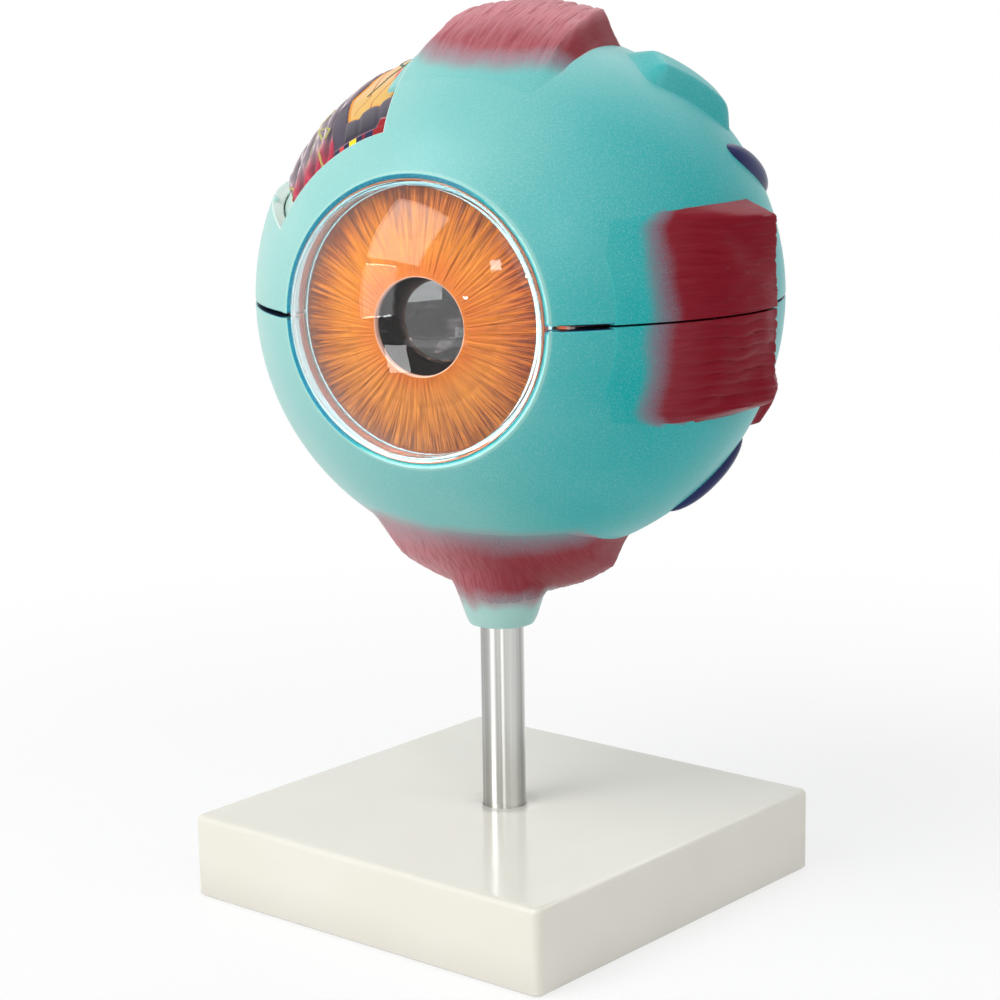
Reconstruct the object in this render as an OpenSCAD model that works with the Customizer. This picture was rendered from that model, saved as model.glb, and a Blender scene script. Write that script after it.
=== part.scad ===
// Take-apart anatomical model of a left eye, about six times life size, on a rod and a square base.
// Origin: centre of the base's underside. +Z up, -Y out of the base's front face.
// The eye's own frame has its origin at the ball's centre, -Y along the optical axis (forwards),
// +X to the lateral side and +Z up. It is turned by eye_yaw about Z on the rod.

/* [Base] */
// Side of the square base
base_w = 122; // [110:1:150]
// Height of the base
base_h = 23; // [18:1:30]
// Radius of the base's upright corners
base_corner_r = 2; // [2:0.5:8]
// Radius of the base's top edges
base_edge_r = 1.2; // [0.6:0.2:1.8]
// Thickness of the base's side walls
base_wall = 3.2; // [2.4:0.2:5]
// Thickness of the plate that closes the base from below
plate_t = 3; // [2:0.5:4]

/* [Rod and socket] */
// Diameter of the steel rod
rod_d = 12; // [8:1:14]
// Height of the rod's foot in the base's boss
rod_foot_z = 5; // [4:0.5:8]
// Height of the socket's lower rim, where the rod disappears
socket_z = 74.8; // [60:0.2:90]
// Radius of the socket's lower rim
socket_r = 9.2; // [8.6:0.2:11]
// Radius of the socket where it has grown into the ball
socket_top_r = 13.6; // [12:0.2:16]
// Height of the socket's flare, from its lower rim up to its full radius
socket_flare_h = 13.6; // [8:0.2:19]
// Depth of the rod inside the socket
socket_depth = 19; // [12:0.5:19]
// Radial clearance of the rod in its two bores
rod_fit = 0.05; // [0.02:0.01:0.1]

/* [Eyeball] */
// Outer radius of the ball
eye_r = 72; // [60:1:76]
// Height of the ball's centre over the table
eye_z = 163.5; // [160:0.5:170]
// How far the ball's centre lies behind the rod, along the optical axis
eye_back = 14.4; // [8:0.2:16]
// Turn of the optical axis from the base's front, to the lateral side
eye_yaw = 13.6; // [-45:0.2:45]
// Thickness of the sclera shell
sclera_t = 3.4; // [3:0.1:4.5]
// Thickness of the choroid shell
choroid_t = 3; // [2.4:0.1:4]
// Clearance between nested shells
shell_gap = 0.3; // [0.2:0.05:0.5]
// Width of the open seam between upper and lower halves
seam_gap = 0.5; // [0.3:0.1:0.8]

/* [Front of the eye] */
// Radius of the round opening for the cornea
limbus_r = 36.1; // [33:0.1:38]
// Outer radius of curvature of the corneal dome
cornea_r = 47; // [42:0.5:52]
// Thickness of the clear dome
cornea_t = 1.8; // [1.2:0.1:2.5]
// Distance of the iris's back face in front of the ball's centre
iris_back = 54.6; // [54.4:0.1:55]
// Thickness of the iris
iris_t = 1.8; // [1.2:0.1:2.2]
// How far the rim of the pupil stands forward of the iris's edge
iris_rise = 3; // [1:0.1:4]
// Radius of the pupil
pupil_r = 12.6; // [10:0.1:16]
// How far the pupil sits below the optical axis
pupil_drop = 1.5; // [0:0.1:2]

/* [Inside of the eye] */
// Radius of the lens at its equator
lens_r = 27; // [24:0.5:28]
// Radius of curvature of the lens's front
lens_front_r = 60; // [50:1:66]
// Radius of curvature of the lens's back
lens_back_r = 36; // [34:1:40]
// Distance of the lens's front pole in front of the ball's centre
lens_pole = 53.4; // [52:0.1:53.6]
// Width of the band round the lens's equator
lens_band = 2; // [1.5:0.1:3]
// Wall of the hollow clear vitreous body
vitreous_t = 2; // [1.6:0.1:3]

/* [Window in the upper sclera] */
// Lower edge of the window, as an angle round the optical axis from the medial side
window_low = 26; // [20:1:30]
// Upper edge of the window, as an angle round the optical axis from the medial side
window_high = 75; // [60:1:78]
// Distance of the window's front edge in front of the ball's centre
window_front = 53; // [48:0.2:53.8]
// Distance of the window's rear edge behind the ball's centre
window_rear = 12; // [-10:1:20]
// Depth of the choroid panel below the sclera's outer surface
panel_depth = 1.4; // [1:0.1:2]

/* [Optic nerve] */
// Radius of the sheath round the optic nerve
sheath_r = 13; // [11:0.5:15]
// Radius of the nerve inside its sheath
nerve_r = 9.6; // [8:0.2:10]
// Distance of the nerve's cut end from the ball's centre
nerve_end = 90; // [84:1:100]
// Turn of the nerve to the medial side
nerve_turn = 15; // [10:1:20]

/* [Hidden] */
$fn = 128;

rod_r = rod_d / 2;
bore_r = rod_r + rod_fit;
rod_top_z = socket_z + socket_depth;
socket_mouth = 0.4;              // free length left over the rod's top end
boss_r = 13;                     // boss under the base's top that holds the rod
post_r = 4;                      // posts that take the base's screws
screw_r = 1.4;
screw_len = 9;
screw_head_r = 2.9;
screw_head_h = 1.6;
screw_place = base_w / 2 - 14;

sclera_in = eye_r - sclera_t;
choroid_out = sclera_in - shell_gap;
choroid_in = choroid_out - choroid_t;
vitreous_out = choroid_in - shell_gap;
limbus_y = sqrt(eye_r * eye_r - limbus_r * limbus_r);
skirt_r = limbus_r - shell_gap;
skirt_back = iris_back + iris_t + 0.1;
iris_edge_r = 33.5;              // where the flat edge of the iris turns into its cone
cone_end_r = 10;                 // the cone before the pupil is cut out of it
choroid_front = iris_back - 0.6;
lens_eq_front = lens_pole - (lens_front_r - sqrt(lens_front_r ^ 2 - lens_r ^ 2));
lens_eq_back = lens_eq_front - lens_band;
lens_back_c = lens_eq_back + sqrt(lens_back_r ^ 2 - lens_r ^ 2);
seat_gap = 0.4;                  // clearance round the lens in its seat
vitreous_front_y = lens_eq_back - 0.2;
panel_out = eye_r - panel_depth;
panel_low = window_low + 7.5;    // leaves room for the sclera's inner edge as it lifts off
panel_edge_gap = 0.6;
half = seam_gap / 2;
pin_r = 0.8;                     // steel pins that keep the halves in register
pin_len = 8;
pin_fit = 0.05;                  // clearance round a pin
pin_play = 0.2;                  // clearance at a pin's ends
stick = 0.05;                    // glue line between a moulded-on piece and the sclera
deep = 40;                       // distance from the ball's centre that is inside every shell
big = 200;

// ---------------------------------------------------------------- helpers

// Places children, drawn in the eye's frame, on the rod.
module at_eye() {
    rotate([0, 0, eye_yaw]) translate([0, eye_back, eye_z]) children();
}

// Turns children so that their +Z points forwards along the optical axis.
module forwards() {
    rotate([90, 0, 0]) children();
}

// Turns children so that their +Z points outwards at a longitude, counted from the
// optical axis to the lateral side, and a latitude; spin turns them on the spot.
module outwards(lon, lat, spin = 0) {
    rotate([90 - lat, 0, lon]) rotate([0, 0, spin]) children();
}

// Keeps what lies above the seam.
module keep_upper() {
    intersection() {
        children();
        translate([-big / 2, -big / 2, half]) cube([big, big, big]);
    }
}

// Keeps what lies below the seam.
module keep_lower() {
    intersection() {
        children();
        translate([-big / 2, -big / 2, -half - big]) cube([big, big, big]);
    }
}

// Block between two distances in front of the ball's centre.
module slab(front, back) {
    translate([-big / 2, -front, -big / 2]) cube([big, front - back, big]);
}

// Wedge round the optical axis on the medial side, between two angles.
module medial_wedge(low, high, front, back) {
    outline = [[0, 0], [-big * cos(low), big * sin(low)], [-big * cos(high), big * sin(high)]];
    translate([0, -back, 0]) forwards() linear_extrude(front - back) polygon(outline);
}

// ---------------------------------------------------------------- stand

// Rounded block: at each corner an upright column, and thin discs that step round the top edge.
module base_outer() {
    inset = base_w / 2 - base_corner_r;
    shoulder = base_h - base_edge_r;
    disc_h = 0.01;
    hull() {
        for (x = [-1, 1], y = [-1, 1]) translate([x * inset, y * inset, 0]) {
            cylinder(r = base_corner_r, h = shoulder, $fn = 32);
            for (turn = [30, 60, 90])
                translate([0, 0, shoulder + base_edge_r * sin(turn) - disc_h])
                    cylinder(r = base_corner_r - base_edge_r * (1 - cos(turn)), h = disc_h, $fn = 32);
        }
    }
}

module screw_places() {
    for (x = [-1, 1], y = [-1, 1]) translate([x * screw_place, y * screw_place, 0]) children();
}

module base_shell() {
    cavity = base_w - 2 * base_wall;
    color("ivory") difference() {
        base_outer();
        difference() {
            translate([-cavity / 2, -cavity / 2, -1]) cube([cavity, cavity, base_h - base_wall + 1]);
            translate([0, 0, plate_t]) cylinder(r = boss_r, h = base_h);
            screw_places() translate([0, 0, plate_t]) cylinder(r = post_r, h = base_h);
        }
        translate([0, 0, rod_foot_z]) cylinder(r = bore_r, h = base_h);
        screw_places() translate([0, 0, plate_t - 1]) cylinder(r = screw_r + 0.05, h = screw_len);
    }
}

module base_plate() {
    side = base_w - 2 * base_wall - 0.6;
    color("gainsboro") difference() {
        translate([-side / 2, -side / 2, 0]) cube([side, side, plate_t - 0.05]);
        screw_places() {
            translate([0, 0, -1]) cylinder(r = screw_r + 0.2, h = plate_t + 2);
            translate([0, 0, -1]) cylinder(r = screw_head_r + 0.3, h = screw_head_h + 1.2);
        }
    }
}

module base_screws() {
    color("silver") screw_places() {
        translate([0, 0, 0.2]) cylinder(r = screw_head_r, h = screw_head_h - 0.05);
        translate([0, 0, 0.2]) cylinder(r = screw_r, h = screw_len);
    }
}

module rod() {
    chamfer = 0.6;
    color("lightsteelblue") rotate_extrude() polygon([
        [0, rod_foot_z + 0.1],
        [rod_r - chamfer, rod_foot_z + 0.1],
        [rod_r, rod_foot_z + 0.1 + chamfer],
        [rod_r, rod_top_z - chamfer],
        [rod_r - chamfer, rod_top_z],
        [0, rod_top_z]
    ]);
}

// ---------------------------------------------------------------- sclera

// Round bar along the optic nerve, from inside the ball to a distance from its centre.
module nerve_bar(r, end) {
    rotate([0, 0, nerve_turn]) translate([0, deep, 0]) rotate([-90, 0, 0])
        cylinder(r = r, h = end - deep);
}

module nerve_bore() {
    nerve_bar(nerve_r + 0.1, nerve_end + 1);
}

module pin_places() {
    ring = (eye_r + sclera_in) / 2;
    for (lon = [70, -70, 138, -138]) rotate([0, 0, lon]) translate([0, -ring, 0]) children();
}

module limbus_cut() {
    bevel = 1.2;
    forwards() {
        translate([0, 0, 30]) cylinder(r = limbus_r, h = 60);
        translate([0, 0, limbus_y - bevel])
            cylinder(r1 = limbus_r - 0.1, r2 = limbus_r + 12 * bevel, h = 12 * bevel);
    }
}

module sclera_whole() {
    difference() {
        sphere(r = eye_r);
        sphere(r = sclera_in);
        limbus_cut();
        nerve_bore();
        translate([0, 0, -pin_len / 2 - pin_play]) pin_places()
            cylinder(r = pin_r + pin_fit, h = pin_len + 2 * pin_play, $fn = 24);
    }
}

module socket_cone() {
    translate([0, -eye_back, socket_z - eye_z]) {
        cylinder(r1 = socket_r, r2 = socket_top_r, h = socket_flare_h);
        translate([0, 0, socket_flare_h]) cylinder(r = socket_top_r, h = socket_depth + 3 - socket_flare_h);
    }
}

module sclera_lower() {
    color("mediumturquoise") at_eye() difference() {
        keep_lower() union() {
            sclera_whole();
            difference() {
                socket_cone();
                sphere(r = sclera_in);
            }
        }
        translate([0, -eye_back, socket_z - eye_z - 1])
            cylinder(r = bore_r, h = socket_depth + socket_mouth + 1);
    }
}

module sclera_upper() {
    color("paleturquoise") at_eye() difference() {
        keep_upper() sclera_whole();
        medial_wedge(window_low, window_high, window_front, -window_rear);
    }
}

module locating_pins() {
    color("silver") at_eye() translate([0, 0, -pin_len / 2]) pin_places()
        cylinder(r = pin_r, h = pin_len, $fn = 24);
}

// ---------------------------------------------------------------- choroid and its contents

module choroid_shell() {
    intersection() {
        difference() {
            sphere(r = choroid_out);
            sphere(r = choroid_in);
        }
        slab(choroid_front, -big / 2);
    }
}

module choroid_lower() {
    color("orangered") at_eye() keep_lower() choroid_shell();
}

module choroid_upper() {
    color("maroon") at_eye() union() {
        keep_upper() choroid_shell();
        intersection() {
            difference() {
                sphere(r = panel_out);
                sphere(r = choroid_in + 1);
            }
            medial_wedge(panel_low, window_high - 0.7, window_front - panel_edge_gap,
                         panel_edge_gap - window_rear);
        }
    }
}

module vitreous_shell() {
    difference() {
        intersection() {
            sphere(r = vitreous_out);
            slab(vitreous_front_y, -big / 2);
        }
        translate([0, -lens_back_c, 0]) sphere(r = lens_back_r + seat_gap);
        difference() {
            intersection() {
                sphere(r = vitreous_out - vitreous_t);
                slab(vitreous_front_y - vitreous_t, -big / 2);
            }
            translate([0, -lens_back_c, 0]) sphere(r = lens_back_r + seat_gap + vitreous_t);
        }
    }
}

module vitreous_front() {
    color("aliceblue", 0.5) at_eye() intersection() {
        vitreous_shell();
        slab(big / 2, 0.05);
    }
}

module vitreous_rear() {
    color("aliceblue", 0.5) at_eye() intersection() {
        vitreous_shell();
        slab(-0.05, -big / 2);
    }
}

module ciliary_ring() {
    color("saddlebrown") at_eye() difference() {
        intersection() {
            sphere(r = vitreous_out);
            slab(choroid_front - 0.1, vitreous_front_y + 0.05);
        }
        forwards() cylinder(r = lens_r + seat_gap, h = big / 2);
    }
}

module lens() {
    front_c = lens_pole - lens_front_r;
    color("azure", 0.6) at_eye() intersection() {
        translate([0, -front_c, 0]) sphere(r = lens_front_r);
        translate([0, -lens_back_c, 0]) sphere(r = lens_back_r);
        forwards() cylinder(r = lens_r, h = big / 2);
    }
}

module iris() {
    color("darkorange") at_eye() difference() {
        forwards() rotate_extrude() polygon([
            [cone_end_r, iris_back + iris_rise],
            [iris_edge_r, iris_back],
            [skirt_r, iris_back],
            [skirt_r, iris_back + iris_t],
            [iris_edge_r, iris_back + iris_t],
            [cone_end_r, iris_back + iris_t + iris_rise]
        ]);
        translate([0, 0, -pupil_drop]) forwards() cylinder(r = pupil_r, h = big / 2);
    }
}

module cornea() {
    dome_c = limbus_y - sqrt(cornea_r ^ 2 - skirt_r ^ 2);
    color("lightcyan", 0.4) at_eye() forwards() rotate_extrude() difference() {
        intersection() {
            translate([0, dome_c]) circle(r = cornea_r);
            translate([0, skirt_back]) square([skirt_r, big]);
        }
        intersection() {
            translate([0, dome_c]) circle(r = cornea_r - cornea_t);
            translate([-1, skirt_back - 1]) square([skirt_r - cornea_t + 1, big]);
        }
    }
}

// The core ends flush with the inside of the sclera; above the seam it keeps clear of the
// lower choroid, which is lifted out past it.
module optic_nerve() {
    color("khaki") at_eye() difference() {
        nerve_bar(nerve_r, nerve_end);
        sphere(r = sclera_in);
        cylinder(r = sclera_in + 0.2, h = deep);
    }
}

module optic_sheath() {
    difference() {
        nerve_bar(sheath_r, nerve_end);
        nerve_bore();
        sphere(r = eye_r + stick);
    }
}

module optic_sheath_upper() {
    color("paleturquoise") at_eye() keep_upper() optic_sheath();
}

module optic_sheath_lower() {
    color("mediumturquoise") at_eye() keep_lower() optic_sheath();
}

// ---------------------------------------------------------------- muscles and vessels

// Slab raised on the ball: a smaller sphere, its centre at c, that comes out through the
// ball's surface, cut to a box from lo to hi.
module raised_slab(c, r, lo, hi) {
    difference() {
        intersection() {
            translate(c) sphere(r = r);
            translate(lo) cube(hi - lo);
        }
        sphere(r = eye_r + stick);
    }
}

module superior_rectus() {
    color("indianred") at_eye() raised_slab([1.8, 11.2, 9.6], 70, [-18, -34, 40], [27, 9, 90]);
}

module inferior_rectus() {
    color("indianred") at_eye() difference() {
        raised_slab([-3.1, 6.4, -27.2], 56.6, [-31, -60, -90], [32.8, 0, -40]);
        translate([0, -eye_back, -big / 2]) cylinder(r = socket_top_r + stick, h = big / 2);
    }
}

// The lateral muscle grows out of a sphere into an upright cylinder, so that its cut rear end
// stands up straight.
module lateral_rectus() {
    difference() {
        intersection() {
            union() {
                translate([13.85, 0, 0]) sphere(r = 61.8);
                translate([15.05, 12, -40]) cylinder(r = 62, h = 80);
            }
            translate([40, -46, -28]) cube([50, 45, 56]);
        }
        sphere(r = eye_r + stick);
    }
}

module medial_rectus() {
    raised_slab([-22, 6, 0], 54.2, [-90, -32, -28], [-40, 8, 28]);
}

module lateral_rectus_upper() {
    color("brown") at_eye() keep_upper() lateral_rectus();
}

module lateral_rectus_lower() {
    color("brown") at_eye() keep_lower() lateral_rectus();
}

module medial_rectus_upper() {
    color("brown") at_eye() keep_upper() medial_rectus();
}

module medial_rectus_lower() {
    color("brown") at_eye() keep_lower() medial_rectus();
}

// Flat tendon pad: a square block standing on the ball, trimmed to a thin shell.
module tendon_pad(lon, lat, spin, w, d, t) {
    difference() {
        intersection() {
            sphere(r = eye_r + t);
            outwards(lon, lat, spin) translate([-w / 2, -d / 2, 40]) cube([w, d, 60]);
        }
        sphere(r = eye_r + stick);
    }
}

module superior_oblique() {
    color("turquoise") at_eye() tendon_pad(101.5, 52.5, -48.6, 31.4, 21, 4.5);
}

module inferior_oblique() {
    color("indianred") at_eye() tendon_pad(128, -22, 20, 34, 18, 4);
}

// Vein lying on the ball along a great circle, as a sunken ring segment.
module vein(lon, lat, spin, reach) {
    difference() {
        outwards(lon, lat, spin) rotate([90, 0, 0]) rotate([0, 0, 90 - reach / 2])
            rotate_extrude(angle = reach) translate([eye_r - 1.4, 0]) circle(r = 4, $fn = 48);
        sphere(r = eye_r + stick);
    }
}

module vortex_veins_upper() {
    color("navy") at_eye() {
        vein(104, 29, -30, 20);
        vein(-122, 29, 30, 20);
    }
}

module vortex_veins_lower() {
    color("navy") at_eye() {
        vein(101, -43, 60, 20);
        vein(-122, -40, -40, 20);
    }
}

base_shell();
base_plate();
base_screws();
rod();
sclera_lower();
sclera_upper();
locating_pins();
choroid_lower();
choroid_upper();
vitreous_front();
vitreous_rear();
ciliary_ring();
lens();
iris();
cornea();
optic_nerve();
optic_sheath_upper();
optic_sheath_lower();
superior_rectus();
inferior_rectus();
lateral_rectus_upper();
lateral_rectus_lower();
medial_rectus_upper();
medial_rectus_lower();
superior_oblique();
inferior_oblique();
vortex_veins_upper();
vortex_veins_lower();
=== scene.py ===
"""Looks of a take-apart model of a left eye on a rod and a square base, about six times life size.

Sizes are millimetres until a mesh is made, and the eye's own frame has its origin at the ball's
centre, -Y forwards along the optical axis, +X to the lateral side and +Z up.
"""
import math

import bmesh
import bpy
import numpy as np
from mathutils import Matrix, Vector


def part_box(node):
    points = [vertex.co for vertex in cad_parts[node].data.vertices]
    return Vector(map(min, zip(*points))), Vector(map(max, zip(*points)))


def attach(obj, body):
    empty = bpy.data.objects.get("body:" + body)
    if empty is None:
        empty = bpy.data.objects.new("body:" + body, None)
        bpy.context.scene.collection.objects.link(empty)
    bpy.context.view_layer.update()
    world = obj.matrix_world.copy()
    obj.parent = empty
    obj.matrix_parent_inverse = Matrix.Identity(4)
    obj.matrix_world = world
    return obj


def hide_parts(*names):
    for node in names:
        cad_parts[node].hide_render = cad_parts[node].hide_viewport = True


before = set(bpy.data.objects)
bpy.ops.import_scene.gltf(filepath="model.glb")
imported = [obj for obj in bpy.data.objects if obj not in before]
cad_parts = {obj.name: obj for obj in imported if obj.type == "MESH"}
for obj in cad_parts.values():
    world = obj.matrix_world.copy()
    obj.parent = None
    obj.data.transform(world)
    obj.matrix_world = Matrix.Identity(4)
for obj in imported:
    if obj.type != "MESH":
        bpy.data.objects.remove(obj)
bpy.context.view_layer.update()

# ---------------------------------------------------------------- base
# A square block, injection moulded in glossy ivory plastic and hollow underneath. A boss under
# its top holds the rod, and four posts take the screws of the plate that closes it from below.
MM = 0.001
base_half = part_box("base_shell")[1].x / MM
base_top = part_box("base_shell")[1].z / MM
base_corner = 2.4
base_edge = 1.5
base_foot_edge = 0.5
base_wall = 3.2
boss_radius = 13.0
post_radius = 4.0
plate_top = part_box("base_plate")[1].z / MM
rod_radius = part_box("rod")[1].x / MM
rod_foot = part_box("rod")[0].z / MM
screw_place = 47.0
ivory = (226, 223, 212)


def linear(colour):
    """A colour of 0 to 255 a channel, as the shaders take it."""
    channels = np.array(colour, float) / 255
    bright = ((channels + 0.055) / 1.055) ** 2.4
    return tuple(np.where(channels > 0.04045, bright, channels / 12.92))


def smooth(low, high, values):
    """0 below low, 1 above high, and an even S between."""
    t = np.clip((np.asarray(values, float) - low) / (high - low), 0, 1)
    return t * t * (3 - 2 * t)


def waves(x, y, seed, size):
    """Gentle unevenness between about -1 and 1, whose bumps are about size across."""
    draw = np.random.default_rng(seed)
    total = np.zeros(np.broadcast(x, y).shape)
    for _ in range(7):
        turn, phase, pitch = draw.uniform(0, math.tau), draw.uniform(0, math.tau), draw.uniform(0.6, 1.6)
        total += np.sin((x * math.cos(turn) + y * math.sin(turn)) * math.tau / (2 * size * pitch) + phase)
    return total / 3


def skin(rings, cap_start=True, cap_end=True, wrap=True):
    """Points and faces of a skin drawn over rings of equally many points."""
    rings = np.asarray(rings, float)
    rows, count = rings.shape[:2]
    points = list(map(tuple, rings.reshape(-1, 3)))
    faces = []
    for row in range(rows - 1):
        for k in range(count if wrap else count - 1):
            after = (k + 1) % count
            faces.append((row * count + k, row * count + after,
                          (row + 1) * count + after, (row + 1) * count + k))
    for row, capped in ((0, cap_start), (rows - 1, cap_end)):
        if capped:
            middle = len(points)
            points.append(tuple(rings[row].mean(0)))
            faces += [(row * count + k, row * count + (k + 1) % count, middle) for k in range(count)]
    return points, faces


def circle(radius, height, count=96, centre=(0, 0)):
    """A level ring of points."""
    turn = np.linspace(0, math.tau, count, endpoint=False) + math.pi / count
    return np.stack([centre[0] + radius * np.cos(turn), centre[1] + radius * np.sin(turn),
                     np.full(count, float(height))], 1)


def rounded_square(half, corner, height, count=96):
    """A level ring of points along a square with round corners."""
    quarter = count // 4
    turn = np.linspace(0, math.pi / 2, quarter)
    x = half - corner + corner * np.cos(turn)
    y = half - corner + corner * np.sin(turn)
    ring = []
    for side in range(4):
        c, s = round(math.cos(side * math.pi / 2)), round(math.sin(side * math.pi / 2))
        ring += [(px * c - py * s, px * s + py * c, height) for px, py in zip(x, y)]
    return np.array(ring)


def lathe(outline, count=96, centre=(0, 0)):
    """Points and faces turned from (radius, height) pairs."""
    return skin([circle(max(r, 1e-4), z, count, centre) for r, z in outline])


def join(*parts):
    """Several (points, faces) as one."""
    points, faces = [], []
    for more_points, more_faces in parts:
        start = len(points)
        points += list(map(tuple, more_points))
        faces += [tuple(start + k for k in face) for face in more_faces]
    return points, faces


def build(name, shape, material, sharp=35.0):
    """A piece from (points, faces) in millimetres, smooth except along sharp edges."""
    points, faces = shape
    mesh = bpy.data.meshes.new(name)
    mesh.from_pydata([tuple(c * MM for c in p) for p in points], [], faces)
    work = bmesh.new()
    work.from_mesh(mesh)
    bmesh.ops.remove_doubles(work, verts=work.verts, dist=1e-6)
    bmesh.ops.recalc_face_normals(work, faces=work.faces)
    work.to_mesh(mesh)
    work.free()
    mesh.polygons.foreach_set("use_smooth", [True] * len(mesh.polygons))
    mesh.set_sharp_from_angle(angle=math.radians(sharp))
    mesh.materials.append(material)
    piece = bpy.data.objects.new(name, mesh)
    bpy.context.scene.collection.objects.link(piece)
    return piece


def node(tree, kind, inputs=None, **settings):
    """A shader node with its settings made and its inputs set, or wired where given a socket."""
    made = tree.nodes.new("ShaderNode" + kind)
    for key, value in settings.items():
        setattr(made, key, value)
    for key, value in (inputs or {}).items():
        if isinstance(value, bpy.types.NodeSocket):
            tree.links.new(value, made.inputs[key])
        else:
            made.inputs[key].default_value = value
    return made


def finish_of(name, colour, roughness, **settings):
    """A material with one Principled shader, its tree and that shader."""
    material = bpy.data.materials.new(name)
    material.use_nodes = True
    tree = material.node_tree
    surface = tree.nodes["Principled BSDF"]
    surface.inputs["Base Color"].default_value = (*linear(colour), 1)
    surface.inputs["Roughness"].default_value = roughness
    for key, value in settings.items():
        surface.inputs[key.replace("_", " ")].default_value = value
    return material, tree, surface


def mixed(tree, factor, first, second, blend="MIX"):
    """The colour between two colours or sockets."""
    made = node(tree, "Mix", data_type="RGBA", blend_type=blend)
    for socket, value in ((made.inputs[0], factor), (made.inputs[6], first), (made.inputs[7], second)):
        if isinstance(value, bpy.types.NodeSocket):
            tree.links.new(value, socket)
        else:
            socket.default_value = value if np.isscalar(value) else (*linear(value), 1)
    return made.outputs[2]


def math_node(tree, operation, first, second=0.0, third=0.0, clamp=False):
    """The result of one sum on sockets or numbers."""
    made = node(tree, "Math", operation=operation, use_clamp=clamp)
    for socket, value in zip(made.inputs, (first, second, third)):
        if isinstance(value, bpy.types.NodeSocket):
            tree.links.new(value, socket)
        else:
            socket.default_value = value
    return made.outputs[0]


def make_unevenness():
    """Group: the faint unevenness of moulded and painted plastic, as a height, a broad mottle and fine
    specks.
    """
    group = bpy.data.node_groups.new("moulded_unevenness", "ShaderNodeTree")
    for name, default in (("Grain per metre", 900.0), ("Grain", 0.5), ("Sink marks", 0.5)):
        socket = group.interface.new_socket(name, in_out="INPUT", socket_type="NodeSocketFloat")
        socket.default_value = default
    for name in ("Height", "Mottle", "Speckle"):
        group.interface.new_socket(name, in_out="OUTPUT", socket_type="NodeSocketFloat")
    taken = group.nodes.new("NodeGroupInput")
    given = group.nodes.new("NodeGroupOutput")
    place = node(group, "TexCoord").outputs["Object"]
    grain = node(group, "TexNoise", {"Vector": place, "Scale": taken.outputs[0], "Detail": 3.0})
    broad = node(group, "TexNoise", {"Vector": place, "Scale": 28.0, "Detail": 2.0})
    fine = math_node(group, "MULTIPLY", grain.outputs["Fac"], taken.outputs[1])
    sunk = math_node(group, "MULTIPLY", broad.outputs["Fac"], taken.outputs[2])
    specks = node(group, "TexNoise", {"Vector": place, "Scale": 2600.0, "Detail": 1.0})
    group.links.new(math_node(group, "ADD", fine, sunk), given.inputs[0])
    group.links.new(broad.outputs["Fac"], given.inputs[1])
    group.links.new(specks.outputs["Fac"], given.inputs[2])
    return group


unevenness = make_unevenness()


def rough_up(tree, surface, roughness, spread, height, per_metre=900.0, grain=0.5, sinks=0.5):
    """Lays the unevenness on a surface; returns the group's node for more use."""
    used = tree.nodes.new("ShaderNodeGroup")
    used.node_tree = unevenness
    used.inputs["Grain per metre"].default_value = per_metre
    used.inputs["Grain"].default_value = grain
    used.inputs["Sink marks"].default_value = sinks
    bump = node(tree, "Bump", {"Height": used.outputs["Height"], "Strength": 1.0, "Distance": height * MM})
    tree.links.new(bump.outputs["Normal"], surface.inputs["Normal"])
    ranged = node(tree, "MapRange", {"Value": used.outputs["Mottle"], "From Min": 0.3, "From Max": 0.7,
                                     "To Min": roughness - spread, "To Max": roughness + spread})
    tree.links.new(ranged.outputs["Result"], surface.inputs["Roughness"])
    return used, bump


def base_outline():
    """Rings of the base's whole skin, from the bore's floor over the top to the cavity's boss."""
    rings = [circle(rod_radius + 0.05, rod_foot - 0.1), circle(rod_radius + 0.05, base_top - 0.3)]
    rings.append(circle(rod_radius + 0.45, base_top))
    rings.append(circle(rod_radius + 6, base_top))
    rings.append(rounded_square(base_half * 0.6, base_corner, base_top))
    rings.append(rounded_square(base_half - base_edge - 1.5, base_corner - base_edge, base_top))
    for turn in np.linspace(0, math.pi / 2, 8):
        drop, out = base_edge * (1 - math.cos(turn)), base_edge * math.sin(turn)
        rings.append(rounded_square(base_half - base_edge + out, base_corner - base_edge + out,
                                    base_top - drop))
    rings.append(rounded_square(base_half, base_corner, base_top * 0.5))
    rings.append(rounded_square(base_half, base_corner, base_foot_edge))
    rings.append(rounded_square(base_half - base_foot_edge, base_corner, 0))
    inside = base_half - base_wall
    rings.append(rounded_square(inside, 1.2, 0))
    rings.append(rounded_square(inside, 1.2, base_top - base_wall))
    rings.append(circle(boss_radius + 0.8, base_top - base_wall))
    rings.append(circle(boss_radius, base_top - base_wall - 0.8))
    rings.append(circle(boss_radius, plate_top + 0.05))
    return rings


posts = [lathe([(post_radius, plate_top + 0.05), (post_radius, base_top - base_wall + 0.5)], 32,
               (x * screw_place, y * screw_place)) for x in (-1, 1) for y in (-1, 1)]
ivory_plastic, tree, surface = finish_of("ivory_plastic", ivory, 0.16, Specular_IOR_Level=0.55,
                                         Subsurface_Weight=0.0, Coat_Weight=0.25, Coat_Roughness=0.08)
used, _ = rough_up(tree, surface, 0.15, 0.04, 0.012, per_metre=700.0, grain=0.05, sinks=1.0)
tree.links.new(mixed(tree, used.outputs["Mottle"], (230, 227, 217), (222, 218, 206)),
               surface.inputs["Base Color"])
base = build("base_block", join(skin(base_outline()), *posts), ivory_plastic, 50)
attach(base, "stand")
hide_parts("base_shell")

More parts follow.
